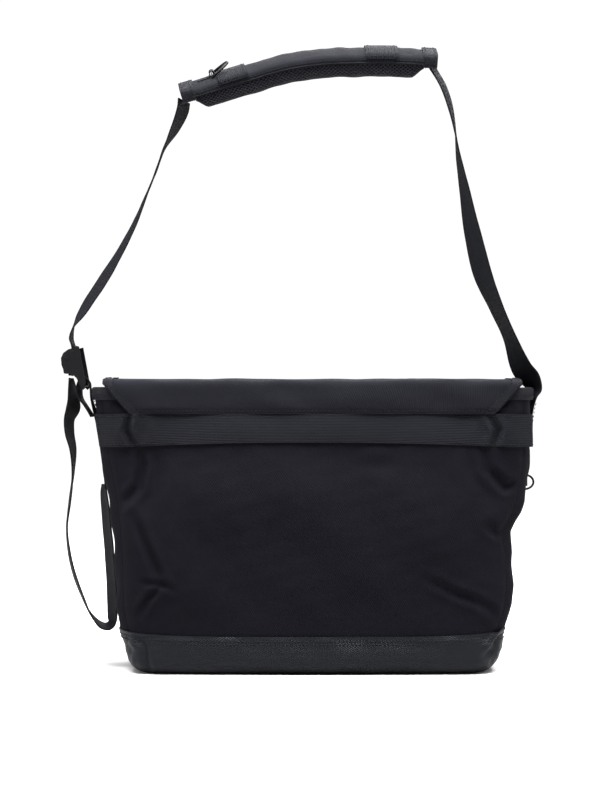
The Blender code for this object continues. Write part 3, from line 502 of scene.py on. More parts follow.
def cloth(name, colour, pattern, pitch, rough=0.8, gloss=0.2, contrast=0.5, bump=0.0003, slack=0.0006,
          blotch=0.35, lint=0.25):
    """Colour times the pattern's Shade and the rub's Tone; the pattern and the slack feed one Bump."""
    made, t, shader = new_material(name)
    where = t.put("ShaderNodeTexCoord").outputs
    weave = t.put("ShaderNodeGroup", {"Vector": where["UV"], "Pitch": pitch},
                  node_tree=GROUPS[pattern]).outputs
    rub = t.put("ShaderNodeGroup", {"Vector": where["Object"], "Blotch": blotch, "Lint": lint},
                node_tree=GROUPS["rub"]).outputs
    shade = t.math("MULTIPLY_ADD", weave["Shade"], 2 * contrast, 1.0 - contrast)
    tint = t.put("ShaderNodeVectorMath", {0: colour, "Scale": t.math("MULTIPLY", shade, rub["Tone"])},
                 operation="SCALE")
    high = t.math("MULTIPLY_ADD", rub["Slack"], slack, t.math("MULTIPLY", weave["Height"], bump))
    relief = t.put("ShaderNodeBump", {"Height": high, "Strength": 1.0, "Distance": 1.0})
    t.fill(shader, {"Specular IOR Level": gloss, "Specular Tint": (0.86, 0.88, 1.0, 1.0),
                    "Base Color": tint.outputs["Vector"],
                    "Roughness": t.math("MULTIPLY_ADD", weave["Height"], -0.12, rough + 0.06),
                    "Normal": relief.outputs["Normal"]})
    return made


TWILL = cloth("nylon_twill", (0.0060, 0.0054, 0.0084), "twill", 0.0011, rough=0.82, gloss=0.09)
# The flap is the panels' nylon twill in a lighter colour: painted light from the lamp above, falling on its
# top.
FLAP_TWILL_PAINTED_LIGHT = cloth("flap_twill_painted_light", (0.0118, 0.0120, 0.0160), "twill", 0.0011, rough=0.80, gloss=0.11)
WEBBING = cloth("rib_webbing", (0.0068, 0.0071, 0.0094), "ribs", 0.0017, rough=0.66, gloss=0.12,
                contrast=0.6, bump=0.0004, slack=0.0003)
TAPE = cloth("edge_tape", (0.0078, 0.0080, 0.0104), "ribs", 0.0011, rough=0.70, gloss=0.15, bump=0.0003,
             slack=0.0002)
COATED = cloth("coated_cloth", (0.0028, 0.0032, 0.0046), "diamonds", 0.0023, rough=0.34, gloss=0.24,
               contrast=0.45, bump=0.00030, slack=0.0005, blotch=0.25, lint=0.1)
# The pad's own twill, lighter than the panels': painted light on its up-turned top.
PAD_CLOTH_PAINTED_LIGHT = cloth("pad_cloth_painted_light", (0.0092, 0.0094, 0.0124), "twill", 0.0012, rough=0.78, gloss=0.14)
AIR_MESH = cloth("air_mesh", (0.0170, 0.0172, 0.0212), "mesh", 0.0034, rough=0.75, gloss=0.2,
                 contrast=0.95, bump=0.0011, slack=0.0)
LINING_CLOTH = cloth("lining_cloth", (0.030, 0.030, 0.035), "twill", 0.0007, rough=0.7, gloss=0.25,
                     contrast=0.25, bump=0.0001, slack=0.0016)
HOOK_TAPE = cloth("hook_tape", (0.0070, 0.0070, 0.0085), "mesh", 0.0012, rough=0.9, gloss=0.1,
                  contrast=0.7, bump=0.0005, slack=0.0)
THREAD = cloth("sewing_thread", (0.0120, 0.0122, 0.0150), "ribs", 0.0004, rough=0.6, gloss=0.14,
               contrast=0.3, bump=0.0001, slack=0.0)


# %% [markdown]
# ## Metal and plastic
# The buckle, rings and slider are painted metal and moulded plastic, so they need worn spots and fine
# grain, and no weave. Their shapes come from the frame as they are, so both noises read Object coordinates.

# %% Hard materials
def hard(name, colour, worn, rough, metal, gloss):
    """Base colour between paint and worn by a noise mask; a finer noise moves roughness and relief."""
    made, t, shader = new_material(name)
    where = t.put("ShaderNodeTexCoord").outputs["Object"]
    broad, fine = t.noise(where, 130.0, 5.0), t.noise(where, 420.0, 3.0)
    mask = t.put("ShaderNodeMapRange", {"Value": broad, "From Min": 0.56, "From Max": 0.74})
    paint = t.put("ShaderNodeMix", {"A": (*colour, 1.0), "B": (*worn, 1.0)}, data_type="RGBA")
    made.node_tree.links.new(mask.outputs["Result"], paint.inputs["Factor"])
    relief = t.put("ShaderNodeBump", {"Height": fine, "Strength": 0.6, "Distance": 0.00008})
    t.fill(shader, {"Specular IOR Level": gloss, "Metallic": metal, "Base Color": paint.outputs["Result"],
                    "Roughness": t.math("MULTIPLY_ADD", fine, 0.25, rough - 0.12),
                    "Normal": relief.outputs["Normal"]})
    return made


PAINTED = hard("painted_metal", (0.0046, 0.0047, 0.0058), (0.012, 0.012, 0.014), 0.40, 0.0, 0.20)
STEEL = hard("blackened_steel", (0.020, 0.0205, 0.023), (0.055, 0.055, 0.06), 0.38, 0.8, 0.3)
MOULDED = hard("moulded_plastic", (0.0046, 0.0046, 0.0056), (0.012, 0.012, 0.014), 0.36, 0.0, 0.25)
for finish, names in ((PAINTED, ("buckle_frame", "side_ring", "zip_slider", "zip_pull", "zip_stop_left",
                                 "zip_stop_right")),
                      (STEEL, ("buckle_pin", "buckle_cam")), (MOULDED, ("pad_ring",))):
    for node in names:
        for place in NODES[node].material_slots:
            place.material = finish


# %% [markdown]
# ## The bag's body
# The body is one lofted tube: a rounded rectangle that widens from the base to the mouth and swells a
# little half-way up. Four panels are cut from it, and they meet at the middle of each corner. A bag that
# has been carried is never straight, so its sides bulge and pinch by a few millimetres, and the back
# shows sharp creases where cloth folds over the seams, and slow waves between them.

# %% The tube that everything follows
BASE_Z, MOUTH_Z = 0.037, 0.277
CORNER = 0.030


def share_up(z):
    """0 at the base's seam and 1 at the mouth."""
    return (z - BASE_Z) / (MOUTH_Z - BASE_Z)


def half_width(z):
    """Straight from base to mouth, less a waist, less the taper of the base below its seam."""
    swell = np.sin(np.pi * np.clip(share_up(z), 0, 1))
    return lerp(0.380, 0.433, share_up(z)) / 2 - 0.003 * swell - 0.004 * np.maximum(0, 1 - z / BASE_Z)


def half_depth(z):
    """As half_width, with a swell instead of a waist."""
    swell = np.sin(np.pi * np.clip(share_up(z), 0, 1))
    return lerp(0.124, 0.102, share_up(z)) / 2 + 0.004 * swell - 0.004 * np.maximum(0, 1 - z / BASE_Z)


LEFT_SWAY = ([0.0, 0.012, 0.024, 0.036, 0.066, 0.116, 0.166, 0.206, 0.240, 0.266, 0.277],
             [-0.0085, -0.0062, -0.0056, -0.0026, 0.0012, -0.0019, -0.0022, 0.0007, 0.0016, 0.0002, -0.0004])
RIGHT_SWAY = ([0.0, 0.012, 0.024, 0.036, 0.046, 0.056, 0.066, 0.085, 0.116, 0.130, 0.137, 0.147, 0.156,
               0.166, 0.186, 0.200, 0.216, 0.236, 0.266, 0.277],
              [-0.0085, -0.0052, -0.0030, -0.0030, -0.0006, 0.0024, 0.0052, 0.0056, 0.0010, -0.0030,
               -0.0044, -0.0006, 0.0042, 0.0070, 0.0080, 0.0092, 0.0082, 0.0044, 0.0012, 0.0006])


def sway(points):
    """Moves the two sides in or out by tables of height, fading to nothing at a third of the width."""
    x, z = points[..., 0], points[..., 2]
    side = smooth((np.abs(x) - 0.125) / 0.075)
    push = np.where(x < 0, -np.interp(z, *LEFT_SWAY), np.interp(z, *RIGHT_SWAY))
    moved = points.copy()
    moved[..., 0] += push * side
    return moved


TURNS = {"back": (0, 1, -1), "right": (1, 1, 1), "front": (0, -1, 1), "left": (1, -1, -1)}


def face_grid(which, z, share, grow=0.0, extra=0.0):
    """One face: share from 0 to 1 runs from the middle of one corner round to the middle of the next.

    A quarter-arc's half, a straight stretch that bows out on back and front, and the next half-arc.
    grow moves it outwards, and extra carries it on past the corners' middles, in metres.
    """
    axis, along, out = TURNS[which]
    long, far = (half_width(z), half_depth(z)) if axis == 0 else (half_depth(z), half_width(z))
    bow = 0.004 if axis == 0 else 0.0
    radius, run = CORNER + grow, long - CORNER
    arc = radius * np.pi / 4
    place = lerp(-extra, 2 * arc + 2 * run + extra, share)
    first = np.pi / 4 - place / radius
    last = (place - arc - 2 * run) / radius
    middle = place - arc - run
    on_first, on_last = place < arc, place > arc + 2 * run
    s = np.where(on_first, -run - radius * np.sin(first),
                 np.where(on_last, run + radius * np.sin(last), middle))
    flat = far + grow + bow * (1 - (np.clip(middle / run, -1, 1)) ** 2)
    d = np.where(on_first, far - CORNER + radius * np.cos(first),
                 np.where(on_last, far - CORNER + radius * np.cos(last), flat))
    s, d = s * along, d * out
    z = z + 0 * s
    return np.stack([s, d, z] if axis == 0 else [d, s, z], -1)


def ring_grid(z, count, grow):
    """The whole section, anticlockwise from above, as rows of count points a face; z is a column."""
    share = (np.arange(count) / count)[None, :]
    return np.concatenate([face_grid(which, z, share, grow) for which in TURNS], 1)


def with_floor(points, shares, lift):
    """The rings of points, after rings of these shares of the first one's size, lifted a little."""
    first = points[:1]
    middle = first.mean(1, keepdims=True)
    floor = np.concatenate([middle + (first - middle) * s for s in shares])
    floor[..., 2] += lift
    return np.concatenate([floor, points])


# %% Creases of the back
def way(*pairs):
    """A line over the back, from (x, z) in millimetres to metres."""
    return np.array(pairs) / 1000


BACK_CREASES = [
    # (line, depth, width)
    (way((-168.009, 217.55), (-165.102, 202.046), (-169.947, 180.728), (-186.42, 164.255)),
     0.0030, 0.0042),
    (way((-155.412, 215.612), (-149.598, 198.17), (-153.474, 176.852), (-161.226, 161.348)),
     0.0012, 0.0060),
    (way((-175.761, 154.565), (-160.257, 120.65), (-144.753, 87.704)), 0.0024, 0.0040),
    (way((-167.04, 89.642), (-144.753, 87.704), (-132.156, 81.89)), 0.0018, 0.0030),
    (way((-145.722, 85.766), (-159.288, 72.2), (-167.04, 56.696)), 0.0022, 0.0032),
    (way((162.42, 221.426), (165.327, 198.17), (181.8, 180.728), (207.963, 188.48)), 0.0030, 0.0042),
    (way((150.792, 217.55), (152.73, 196.232), (160.482, 176.852)), 0.0012, 0.0060),
    (way((169.203, 145.844), (181.8, 136.154), (195.366, 140.03)), 0.0018, 0.0040),
    (way((109.125, 93.518), (135.288, 79.952), (162.42, 68.324), (179.862, 54.758)), 0.0022, 0.0040),
    (way((184.707, 87.704), (192.459, 74.138), (186.645, 60.572)), 0.0020, 0.0030),
    (way((38.388, 204.953), (65.52, 201.077), (94.59, 203.015)), 0.0009, 0.0070),
]


def corner_tilt(x, z):
    """0.09 (z - 0.205) near both sides: the upper corners lean out over the hollows below them."""
    near_side = smooth((np.abs(x) - 0.145) / 0.035) * smooth((0.207 - np.abs(x)) / 0.022)
    return 0.09 * (z - 0.205) * near_side * smooth((z - 0.15) / 0.03) * smooth((0.272 - z) / 0.018)


def back_relief(x, z):
    """Outward push of the back: creases, and slow waves that die out at its seams."""
    push = 1.3 * sum(crease(x, z, *row) for row in BACK_CREASES)
    edge = smooth((z - 0.040) / 0.04) * smooth((0.275 - z) / 0.03)
    lean = smooth((0.225 - z) / 0.06) * smooth((z - 0.03) / 0.12) * smooth((0.192 - np.abs(x)) / 0.06)
    waves = 0.0020 * ripples(x, 1.4 * z, 0.12, seed=3) + 0.0004 * ripples(x, z, 0.030, seed=5)
    return push + 0.0046 * lean + corner_tilt(x, z) + edge * waves


def side_relief(y, z, seed):
    """The gussets hang slack: a broad hollow down the middle, pleats at the mouth and slanting waves."""
    edge = smooth((z - 0.040) / 0.03) * smooth((0.277 - z) / 0.02)
    hollow = -0.0022 * np.exp(-(y / 0.020) ** 2) * edge
    return hollow + 0.0016 * edge * ripples(1.2 * y, z, 0.055, seed=seed)


def push_out(points, amount):
    """Each point moved along the grid's normal."""
    return points + normals(points) * amount[..., None]


# %% Four panels
def make_panels():
    rows = np.linspace(BASE_Z - 0.007, MOUTH_Z, 118)[:, None]
    for which, node, count, seed in (("back", "back_panel", 210, 0), ("front", "front_panel", 120, 9),
                                     ("left", "left_gusset", 64, 11), ("right", "right_gusset", 64, 13)):
        points = face_grid(which, rows, np.linspace(0.0008, 0.9992, count)[None, :])
        x, y, z = points[..., 0], points[..., 1], points[..., 2]
        if which == "back":
            push = back_relief(x, z)
        elif which == "front":
            edge = smooth((z - 0.04) / 0.04) * smooth((0.275 - z) / 0.03) * smooth((0.21 - np.abs(x)) / 0.04)
            push = 0.0012 * edge * ripples(x, 1.3 * z, 0.11, seed=seed)
        else:
            push = side_relief(y, z, seed)
        share = np.linspace(0, 1, count)[None, :]
        seam = np.minimum(share, 1 - share) * points.shape[1]
        push = push * smooth(seam / 6) - 0.0009 * np.exp(-(seam / 2.2) ** 2)
        points = sway(push_out(points, push))
        name = node.replace("_panel", "") + "_cloth"
        piece = attach(thick_sheet(name, points, 0.0020, TWILL), "nylon", node)
        print(name, len(piece.data.polygons), "faces")


make_panels()


# %% [markdown]
# ## Stitches
# A row of stitches is one short capsule of thread repeated along a line. All the rows of one piece are
# one mesh, and each capsule has few faces, because there are hundreds of them.

# %% Thread
def stitch_row(path, normal, length=0.0026, gap=0.0013, thick=0.00042, lift=0.0001):
    """Capsules of 6 sides and 4 rings at equal steps along a path: points and quads."""
    way_on = travelled(path)
    count = max(int(way_on[-1] / (length + gap)), 1)
    start = (np.arange(count) + 0.5) * way_on[-1] / count
    at, up = read_at(start, way_on, path), read_at(start, way_on, normal)
    along = unit(read_at(start + length / 2, way_on, path) - read_at(start - length / 2, way_on, path))
    up = unit(up - along * (up * along).sum(1, keepdims=True))
    side = np.cross(up, along)
    turn = 2 * np.pi * np.arange(6) / 6
    rings = [(-0.5, 0.25), (-0.36, 0.95), (0.36, 0.95), (0.5, 0.25)]
    points = []
    for step, size in rings:
        middle = at + along * (step * length) + up * (lift + thick * 0.5 * (size - 0.25))
        points.append(middle[:, None] + thick * size * (np.cos(turn)[None, :, None] * side[:, None]
                                                         + np.sin(turn)[None, :, None] * up[:, None]))
    points = np.stack(points, 1).reshape(count, 24, 3)
    quads = grid_faces(4, 6, True)
    ends = np.array([[5, 4, 1, 0], [4, 3, 2, 1], [18, 19, 22, 23], [19, 20, 21, 22]])
    quads = np.concatenate([quads, ends])
    all_quads = (quads[None] + 24 * np.arange(count)[:, None, None]).reshape(-1, 4)
    return points.reshape(-1, 3), all_quads


def sew(name, rows, body="bag", **sizes):
    """One mesh of every row of stitches: rows are (path, normal)."""
    points, quads, count = [], [], 0
    for path, normal in rows:
        p, q = stitch_row(np.asarray(path, float), np.asarray(normal, float), **sizes)
        points.append(p)
        quads.append(q + count)
        count += len(p)
    points = np.concatenate(points)
    piece = to_object(name, points, np.concatenate(quads), points[:, [0, 2]], THREAD, sharp=180)
    print(name, len(points) // 24, "stitches")
    return attach(piece, "webbing", body=body)


def line_on(grid, row=None, column=None, lift=0.0):
    """A row or column of a grid (a share of its height or width), with the grid's normals there."""
    normal, share = normals(grid), row
    if row is None:
        grid, normal, share = grid.transpose(1, 0, 2), normal.transpose(1, 0, 2), column
    at = share * (len(grid) - 1)
    k = int(min(at, len(grid) - 2))
    return lerp(grid[k], grid[k + 1], at - k) + normal[k] * lift, normal[k]


def ring_at(grid, row, shift=(0, 0, 0), lift=0.0):
    """A whole row of a wrapped grid, joined up, with the grid's normals there."""
    loop = np.r_[np.arange(grid.shape[1]), 0]
    normal = normals(grid, wrap=True)[row, loop]
    return grid[row, loop] + shift + normal * lift, normal


# %% [markdown]
# ## The coated base
# The base is a shallow tray of stiff, pressed cloth, sewn over the panels' lower edge. Its rim rises a
# little towards the corners, its foot is rounded, and it buckles at the corners where a flat sheet was
# forced round them. It is the tube's section with the wall pushed outwards, closed underneath.

# %% Base
FOOT_R = 0.011
BASE_CREASES = [
    (way((-166.071, 33.44), (-164.133, 17.936), (-161.226, 3.401)), 0.0034, 0.0030),
    (way((-178.668, 37.316), (-176.73, 21.812), (-170.916, 6.308)), -0.0022, 0.0046),
    (way((188.583, 48.944), (178.893, 37.316), (166.296, 22.781)), -0.0030, 0.0032),
    (way((168.234, 16.967), (175.986, 21.812), (181.8, 32.471)), 0.0026, 0.0028),
    (way((-132.156, 10.184), (-79.83, 6.308), (-31.38, 5.339)), 0.0008, 0.0040),
    (way((17.07, 7.277), (84.9, 5.339), (133.35, 8.246)), 0.0008, 0.0040),
]


def base_point(z, count, grow):
    """Section rows with the foot's rounding in the wall's inset, and the rim's rise at the corners."""
    inset = FOOT_R - np.sqrt(np.maximum(FOOT_R ** 2 - np.maximum(FOOT_R - z, 0) ** 2, 0))
    points = ring_grid(z[:, None], count, grow - inset[:, None])
    x, z_all = points[..., 0], points[..., 2].copy()
    rise = 0.0052 * (np.abs(x) / 0.192) ** 5
    points[..., 2] = z_all + rise * smooth(z_all / BASE_Z)
    return points


def base_relief(points):
    """Outward push of the base: creases at the back, waves, a rounded belly, and buckled corners."""
    x, y, z = points[..., 0], points[..., 1], points[..., 2]
    back = y < 0
    push = sum(crease(x, z, *row, lip=0.2) for row in BASE_CREASES) * back
    edge = smooth(z / 0.012) * smooth((0.040 - z) / 0.006)
    push = push + edge * (0.0008 * ripples(x + 1.3 * y, 1.5 * z, 0.05, seed=21)
                          + 0.0013 * np.sin(np.pi * np.clip(z / BASE_Z, 0, 1)))
    corner = np.exp(-((np.abs(x) - 0.180) / 0.016) ** 2) * np.exp(-((np.abs(y) - 0.052) / 0.016) ** 2)
    return push + 0.0014 * corner * edge * ripples(6 * x, 4 * z, 0.05, seed=23)


def make_base():
    z = np.concatenate([FOOT_R * (1 - np.cos(np.linspace(0.0, np.pi / 2, 14))),
                        np.linspace(0.0126, BASE_Z + 0.0002, 24)])
    points = base_point(z, 120, 0.0020)
    points = points + normals(points, wrap=True) * base_relief(points)[..., None]
    points[..., 2] = np.maximum(points[..., 2], 0.0)
    points = sway(points)
    whole = with_floor(points, (0.0005, 0.35, 0.7, 0.93), 0.0004)
    step, m = 0.0022, whole.shape[1]
    up = np.concatenate([[-0.16, -0.11, -0.05, -0.012], travelled(points[:, 0])])
    piece = thick_sheet("base_cloth", whole, 0.0016, COATED, wrap=True, sharp=70, period=m * step,
                        uv=flat_uv(np.arange(m)[None, :] * step, up[:, None]))
    attach(piece, "coated", "base_cup")
    rows = [int(np.argmin(np.abs(z - (BASE_Z - below)))) for below in (0.0036, 0.0078)]
    sew("base_stitches", [ring_at(points, row, lift=0.0001) for row in rows])
    print("rim from", points[-1, :, 2].min(), "to", points[-1, :, 2].max())


make_base()


# %% [markdown]
# ## The webbing band and the bound mouth
# A wide band of ribbed webbing crosses the back, high up, so that the bag can ride on a trolley's handle.
# It is sewn down only at its ends, so it sags a little between them and buckles beside the seams. The
# mouth's raw edge is wrapped in a folded tape. Both are sheets laid on the same tube, a little proud.

# %% Band and binding
BAND_LOW, BAND_HIGH = 0.2202, 0.2523
BAND_PINCHES = [
    (way((-175.761, 254.372), (-179.637, 234.992), (-170.916, 218.519)), 0.0034, 0.0030),
    (way((-166.071, 252.434), (-164.133, 234.992), (-167.04, 219.488)), 0.0012, 0.0040),
    (way((169.203, 253.403), (176.955, 236.93), (171.141, 219.488)), 0.0034, 0.0032),
    (way((161.451, 252.434), (163.389, 234.992), (166.296, 219.488)), 0.0012, 0.0040),
]


def band_grid(share_z, share_x):
    """Rows across the band's width: its lower edge lifts 5 mm in the middle, its upper one stays."""
    middle = 1 - np.clip(np.abs(2 * share_x - 1) / 0.86, 0, 1) ** 2
    z = lerp(BAND_LOW + 0.0046 * middle, BAND_HIGH, share_z)
    points = face_grid("back", z, share_x, grow=0.0020, extra=0.014)
    x, z = points[..., 0], points[..., 2]
    push = 0.0016 * ripples(x, 1.4 * z, 0.12, seed=3) + corner_tilt(x, z)
    push = push + sum(crease(x, z, *row, lip=0.6) for row in BAND_PINCHES)
    belly = 0.0010 * np.sin(np.pi * np.clip(share_z, 0, 1)) * middle
    return sway(push_out(points, push + belly))


def make_band():
    up, across = np.meshgrid(np.linspace(0, 1, 14), np.linspace(0, 1, 260), indexing="ij")
    grid = band_grid(up, across)
    piece = thick_sheet("band_webbing", grid, 0.0014, WEBBING, uv=flat_uv(up * 0.032, across * 0.46))
    attach(piece, "webbing", "back_band")
    rows = []
    for path, normal in (line_on(grid, row=row) for row in (0.07, 0.93)):
        rows += [(path[part], normal[part]) for part in (slice(0, 52), slice(208, 260))]
    sew("band_stitches", rows + [line_on(grid, column=column) for column in (0.014, 0.986)])


def make_mouth_binding():
    profile = np.array([(0.2660, 0.0014), (0.2668, 0.0020), (0.2720, 0.0021), (0.2762, 0.0020),
                        (0.2780, 0.0006), (0.2783, -0.0010), (0.2778, -0.0026), (0.2758, -0.0036),
                        (0.2675, -0.0036)])
    z, grow = profile[:, :1], profile[:, 1:]
    grid = ring_grid(z, 90, grow)
    grid[..., 2] += 0.0009 * ripples(grid[..., 0], grid[..., 1], 0.09, seed=31) * smooth((z - 0.266) / 0.004)
    grid = sway(grid)
    flat = flat_uv(travelled(profile)[:, None], np.arange(grid.shape[1])[None, :] * 0.0028)
    piece = thick_sheet("mouth_tape", grid, 0.0009, TAPE, wrap=True, uv=flat, sharp=80)
    attach(piece, "webbing", "mouth_binding")
    sew("mouth_stitches", [ring_at(grid, 2, shift=(0, 0, -0.0030))])


make_band()
make_mouth_binding()


# %% [markdown]
# ## The flap
# The flap is one cloth. It is sewn to the back above the band, widens to the full width at the ridge,
# lies over the mouth, and hangs down the front. Its borders are bound in tape.

# %% The flap's two sheets as functions
RIDGE_Z, FLAP_BOTTOM, FLAP_CORNER = 0.2835, 0.1135, 0.026
HALF_SEAM, HALF_RIDGE = 0.1765, 0.2025
FOLD_Y = 0.0604
POCKET_TOP = 0.211
REAR = np.array([(-0.0598, 0.2522), (-0.0603, 0.2600), (-0.0606, 0.2700), (-0.0605, 0.2790),
                 (-0.0592, 0.2830), (-0.0560, 0.2850), (-0.0500, 0.2857), (-0.0300, 0.2862),
                 (-0.0100, 0.2864), (0.0030, 0.2864)])
REAR_LINE = evenly(spline(REAR, 8), 240)


def pocket_y(z):
    """The front pocket's outer face."""
    return half_depth(z) + 0.0069


def front_y(z):
    """The cloth's outer face: close to the pocket below, leaning out to the fold line above."""
    hang = pocket_y(np.minimum(z, POCKET_TOP)) + 0.0036
    return lerp(hang, FOLD_Y - 0.0007, smooth((z - POCKET_TOP) / (RIDGE_Z - POCKET_TOP))) + 0.0014


def top_wave(x, y):
    """Height waves on top of the flap: long ones across it, and short ones."""
    return 0.0011 * ripples(x, 0 * x, 0.16, seed=41) + 0.0005 * ripples(x, y, 0.035, seed=42)


def read_line(t, line):
    """y and z at shares t of a line's length."""
    at = np.linspace(0, 1, len(line))
    return np.interp(t, at, line[:, 0]), np.interp(t, at, line[:, 1])


def rear_point(x, t):
    """t from 0 at the seam to 1 in the middle of the top; x in metres."""
    y, z = (row + 0 * x for row in read_line(t, REAR_LINE))
    on_top = smooth((y + 0.058) / 0.012)
    hang = smooth((z - 0.2530) / 0.006)
    z = z + smooth((z - 0.2700) / 0.0130) * top_wave(x, y)
    y = y - (1 - on_top) * hang * (0.0013 * ripples(x + 0.3 * z, 2.0 * z, 0.085, seed=43) + 0.0009)
    return np.stack([x, y, z], -1)


def rear_half(t):
    """From the seam's half-width to the ridge's, as the cloth rises."""
    z = read_line(t, REAR_LINE)[1]
    return lerp(HALF_SEAM, HALF_RIDGE, np.clip((z - 0.2522) / (0.2815 - 0.2522), 0, 1))


FRONT_TOP = np.array([(-0.0040, 0.2864), (0.0200, 0.2863), (0.0420, 0.2858), (0.0540, 0.2850),
                      (0.0600, 0.2828)])
FRONT_Z = np.concatenate([np.linspace(0.2790, 0.1400, 24),
                          FLAP_BOTTOM + FLAP_CORNER * (1 - np.cos(np.linspace(np.pi / 2, 0, 12)))[1:]])
FRONT = spline(np.concatenate([FRONT_TOP, np.stack([front_y(FRONT_Z), FRONT_Z], -1)]), 4)
FRONT_LINE = evenly(FRONT, 400)


def front_point(x, t):
    """t from 0 in the middle of the top, under the rear sheet's hem, to 1 at the front's lower edge."""
    y, z = (row + 0 * x for row in read_line(t, FRONT_LINE))
    down = smooth((0.275 - z) / 0.03)
    top = 1 - down
    lap = 0.0016 * (1 - smooth((y - 0.0035) / 0.025))
    z = z + top * lerp(top_wave(x, y), 0.0006 * ripples(x, y, 0.06, seed=44), smooth(y / 0.04)) - lap * top
    y = y + down * (0.0016 * ripples(x, 0.7 * z, 0.11, seed=45) * smooth((0.24 - z) / 0.05)
                    + 0.0004 + 0.0007 * ripples(x, z, 0.035, seed=46))
    return np.stack([x, y, z], -1)


def front_half(t):
    """The full half-width, less a quarter-circle at the lower corners."""
    z = read_line(t, FRONT_LINE)[1]
    full = HALF_RIDGE - 0.004 * np.clip((RIDGE_Z - z) / 0.170, 0, 1)
    up = np.clip(z - FLAP_BOTTOM, 0, FLAP_CORNER)
    return full - FLAP_CORNER + np.sqrt(np.maximum(FLAP_CORNER ** 2 - (FLAP_CORNER - up) ** 2, 0))


SHEETS = {"rear": (rear_point, rear_half), "front": (front_point, front_half)}


def bend_flap(piece, part):
    """Bakes each sheet's placing into its own mesh."""
    if part == "rear":
        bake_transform(piece)
    else:
        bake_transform(piece)
    return piece


def flap_grid(part, count):
    """count columns of a sheet, with closer rows where the front's corners turn."""
    point, half = SHEETS[part]
    t = np.linspace(0, 1, 90 if part == "rear" else 110)
    if part == "front":
        t = np.concatenate([t[:-18], np.sqrt(np.linspace(t[-18] ** 2, 1, 30))])
    t = t[:, None]
    return point(np.linspace(-1, 1, count)[None, :] * half(t), t + 0 * np.ones((1, count)))


def flap_tape(part, side):
    """The tape along one side edge of a sheet, with its columns counted from the edge."""
    point, half = SHEETS[part]
    t = np.linspace(0, 1 if part == "rear" else 0.845, 110)[:, None]
    inwards = np.array([-0.0012, -0.0010, 0.0006, 0.0030, 0.0060, 0.0088, 0.0090])[None, :]
    raised = np.array([-0.0012, 0.0004, 0.0009, 0.0009, 0.0009, 0.0009, 0.0002])[None, :]
    x = side * (half(t) - inwards)
    grid = point(x, t + 0 * x)
    if side > 0:
        grid, raised = grid[:, ::-1], raised[:, ::-1]
    return grid + normals(grid) * raised[..., None] * (1 if part == "rear" else -1)


def make_flap():
    for part, turn, nodes, length in (("rear", 1, ("flap_back", "flap_top"), 0.094),
                                      ("front", -1, ("flap_front",), 0.234)):
        piece = thick_sheet(f"flap_cloth_{part}", flap_grid(part, 170)[:, ::turn], 0.0013, FLAP_TWILL_PAINTED_LIGHT)
        attach(bend_flap(piece, part), "nylon", *nodes, body=None)
        print(piece.name, len(piece.data.polygons), "faces")
    for part in ("rear", "front"):
        turn, rows = 1 if part == "rear" else -1, []
        for side, label in ((-1, "left"), (1, "right")):
            grid = flap_tape(part, side)[:, ::turn]
            flat = flat_uv(np.linspace(0, 0.0105, 7)[None, :], np.linspace(0, 0.12, 110)[:, None])
            piece = bend_flap(thick_sheet(f"flap_{part}_tape_{label}", grid, 0.0007, TAPE, uv=flat), part)
            nodes = (f"flap_back_tape_{label}", f"flap_top_tape_{label}") if part == "rear" else ()
            attach(piece, "webbing", *nodes, body=None)
            for column in (0.42, 0.86) if side * turn < 0 else (0.14, 0.58):
                rows.append(line_on(grid, column=column, lift=0.0001))
        if part == "rear":
            seam = flap_grid("rear", 170)[3:5]
            rows.append((seam[0][4:-4] - [0, 0.0002, 0], np.tile([0.0, -1.0, 0.0], (162, 1))))
        bend_flap(sew(f"flap_{part}_stitches", rows, body=None), part)


make_flap()


# %% The front flap's lower hem
def make_hem():
    """A tape along the lower edge and round both corners: the outline, and the same line moved inwards."""
    turn = np.linspace(0, np.pi / 2, 14)
    low, left = FLAP_BOTTOM, -(HALF_RIDGE - 0.004)
    corner = np.stack([left + FLAP_CORNER * (1 - np.cos(turn)), low + FLAP_CORNER * (1 - np.sin(turn))], -1)
    line = np.concatenate([[(left, low + 0.040)], corner, corner[::-1] * [-1, 1], [(-left, low + 0.040)]])
    line = evenly(line, 220)
    way_on = unit(np.gradient(line, axis=0))
    inwards = np.stack([-way_on[:, 1], way_on[:, 0]], -1)
    steps = np.array([-0.0012, -0.0010, 0.0006, 0.0030, 0.0060, 0.0088, 0.0090])
    raised = np.array([-0.0010, 0.0006, 0.0010, 0.0010, 0.0010, 0.0010, 0.0002])
    flat = line[None] + inwards[None] * steps[:, None, None]
    t = np.interp(-flat[..., 1], -FRONT_LINE[20:, 1], np.linspace(0, 1, 400)[20:])
    grid = front_point(flat[..., 0], t)
    grid[..., 2] = flat[..., 1]
    grid[..., 1] += raised[:, None] + 0.0003
    uv = flat_uv(np.linspace(0, 0.0105, 7)[:, None], travelled(line)[None, :])
    piece = thick_sheet("flap_hem_tape", grid, 0.0007, TAPE, uv=uv)
    attach(piece, "webbing", "flap_front_tape", body="flap_front")
    out = np.tile([0.0, 1.0, 0.0], (220, 1))
    sew("flap_hem_stitches", [(grid[2], out), (grid[5], out)], body="flap_front")


make_hem()


# %% [markdown]
# ## The front
# Under the flap sits a flat pocket with a bound top. Two patches of loop tape on it meet two of hook tape
# inside the flap. The pocket is a sheet whose edges come down to the panel and whose middle stands off.

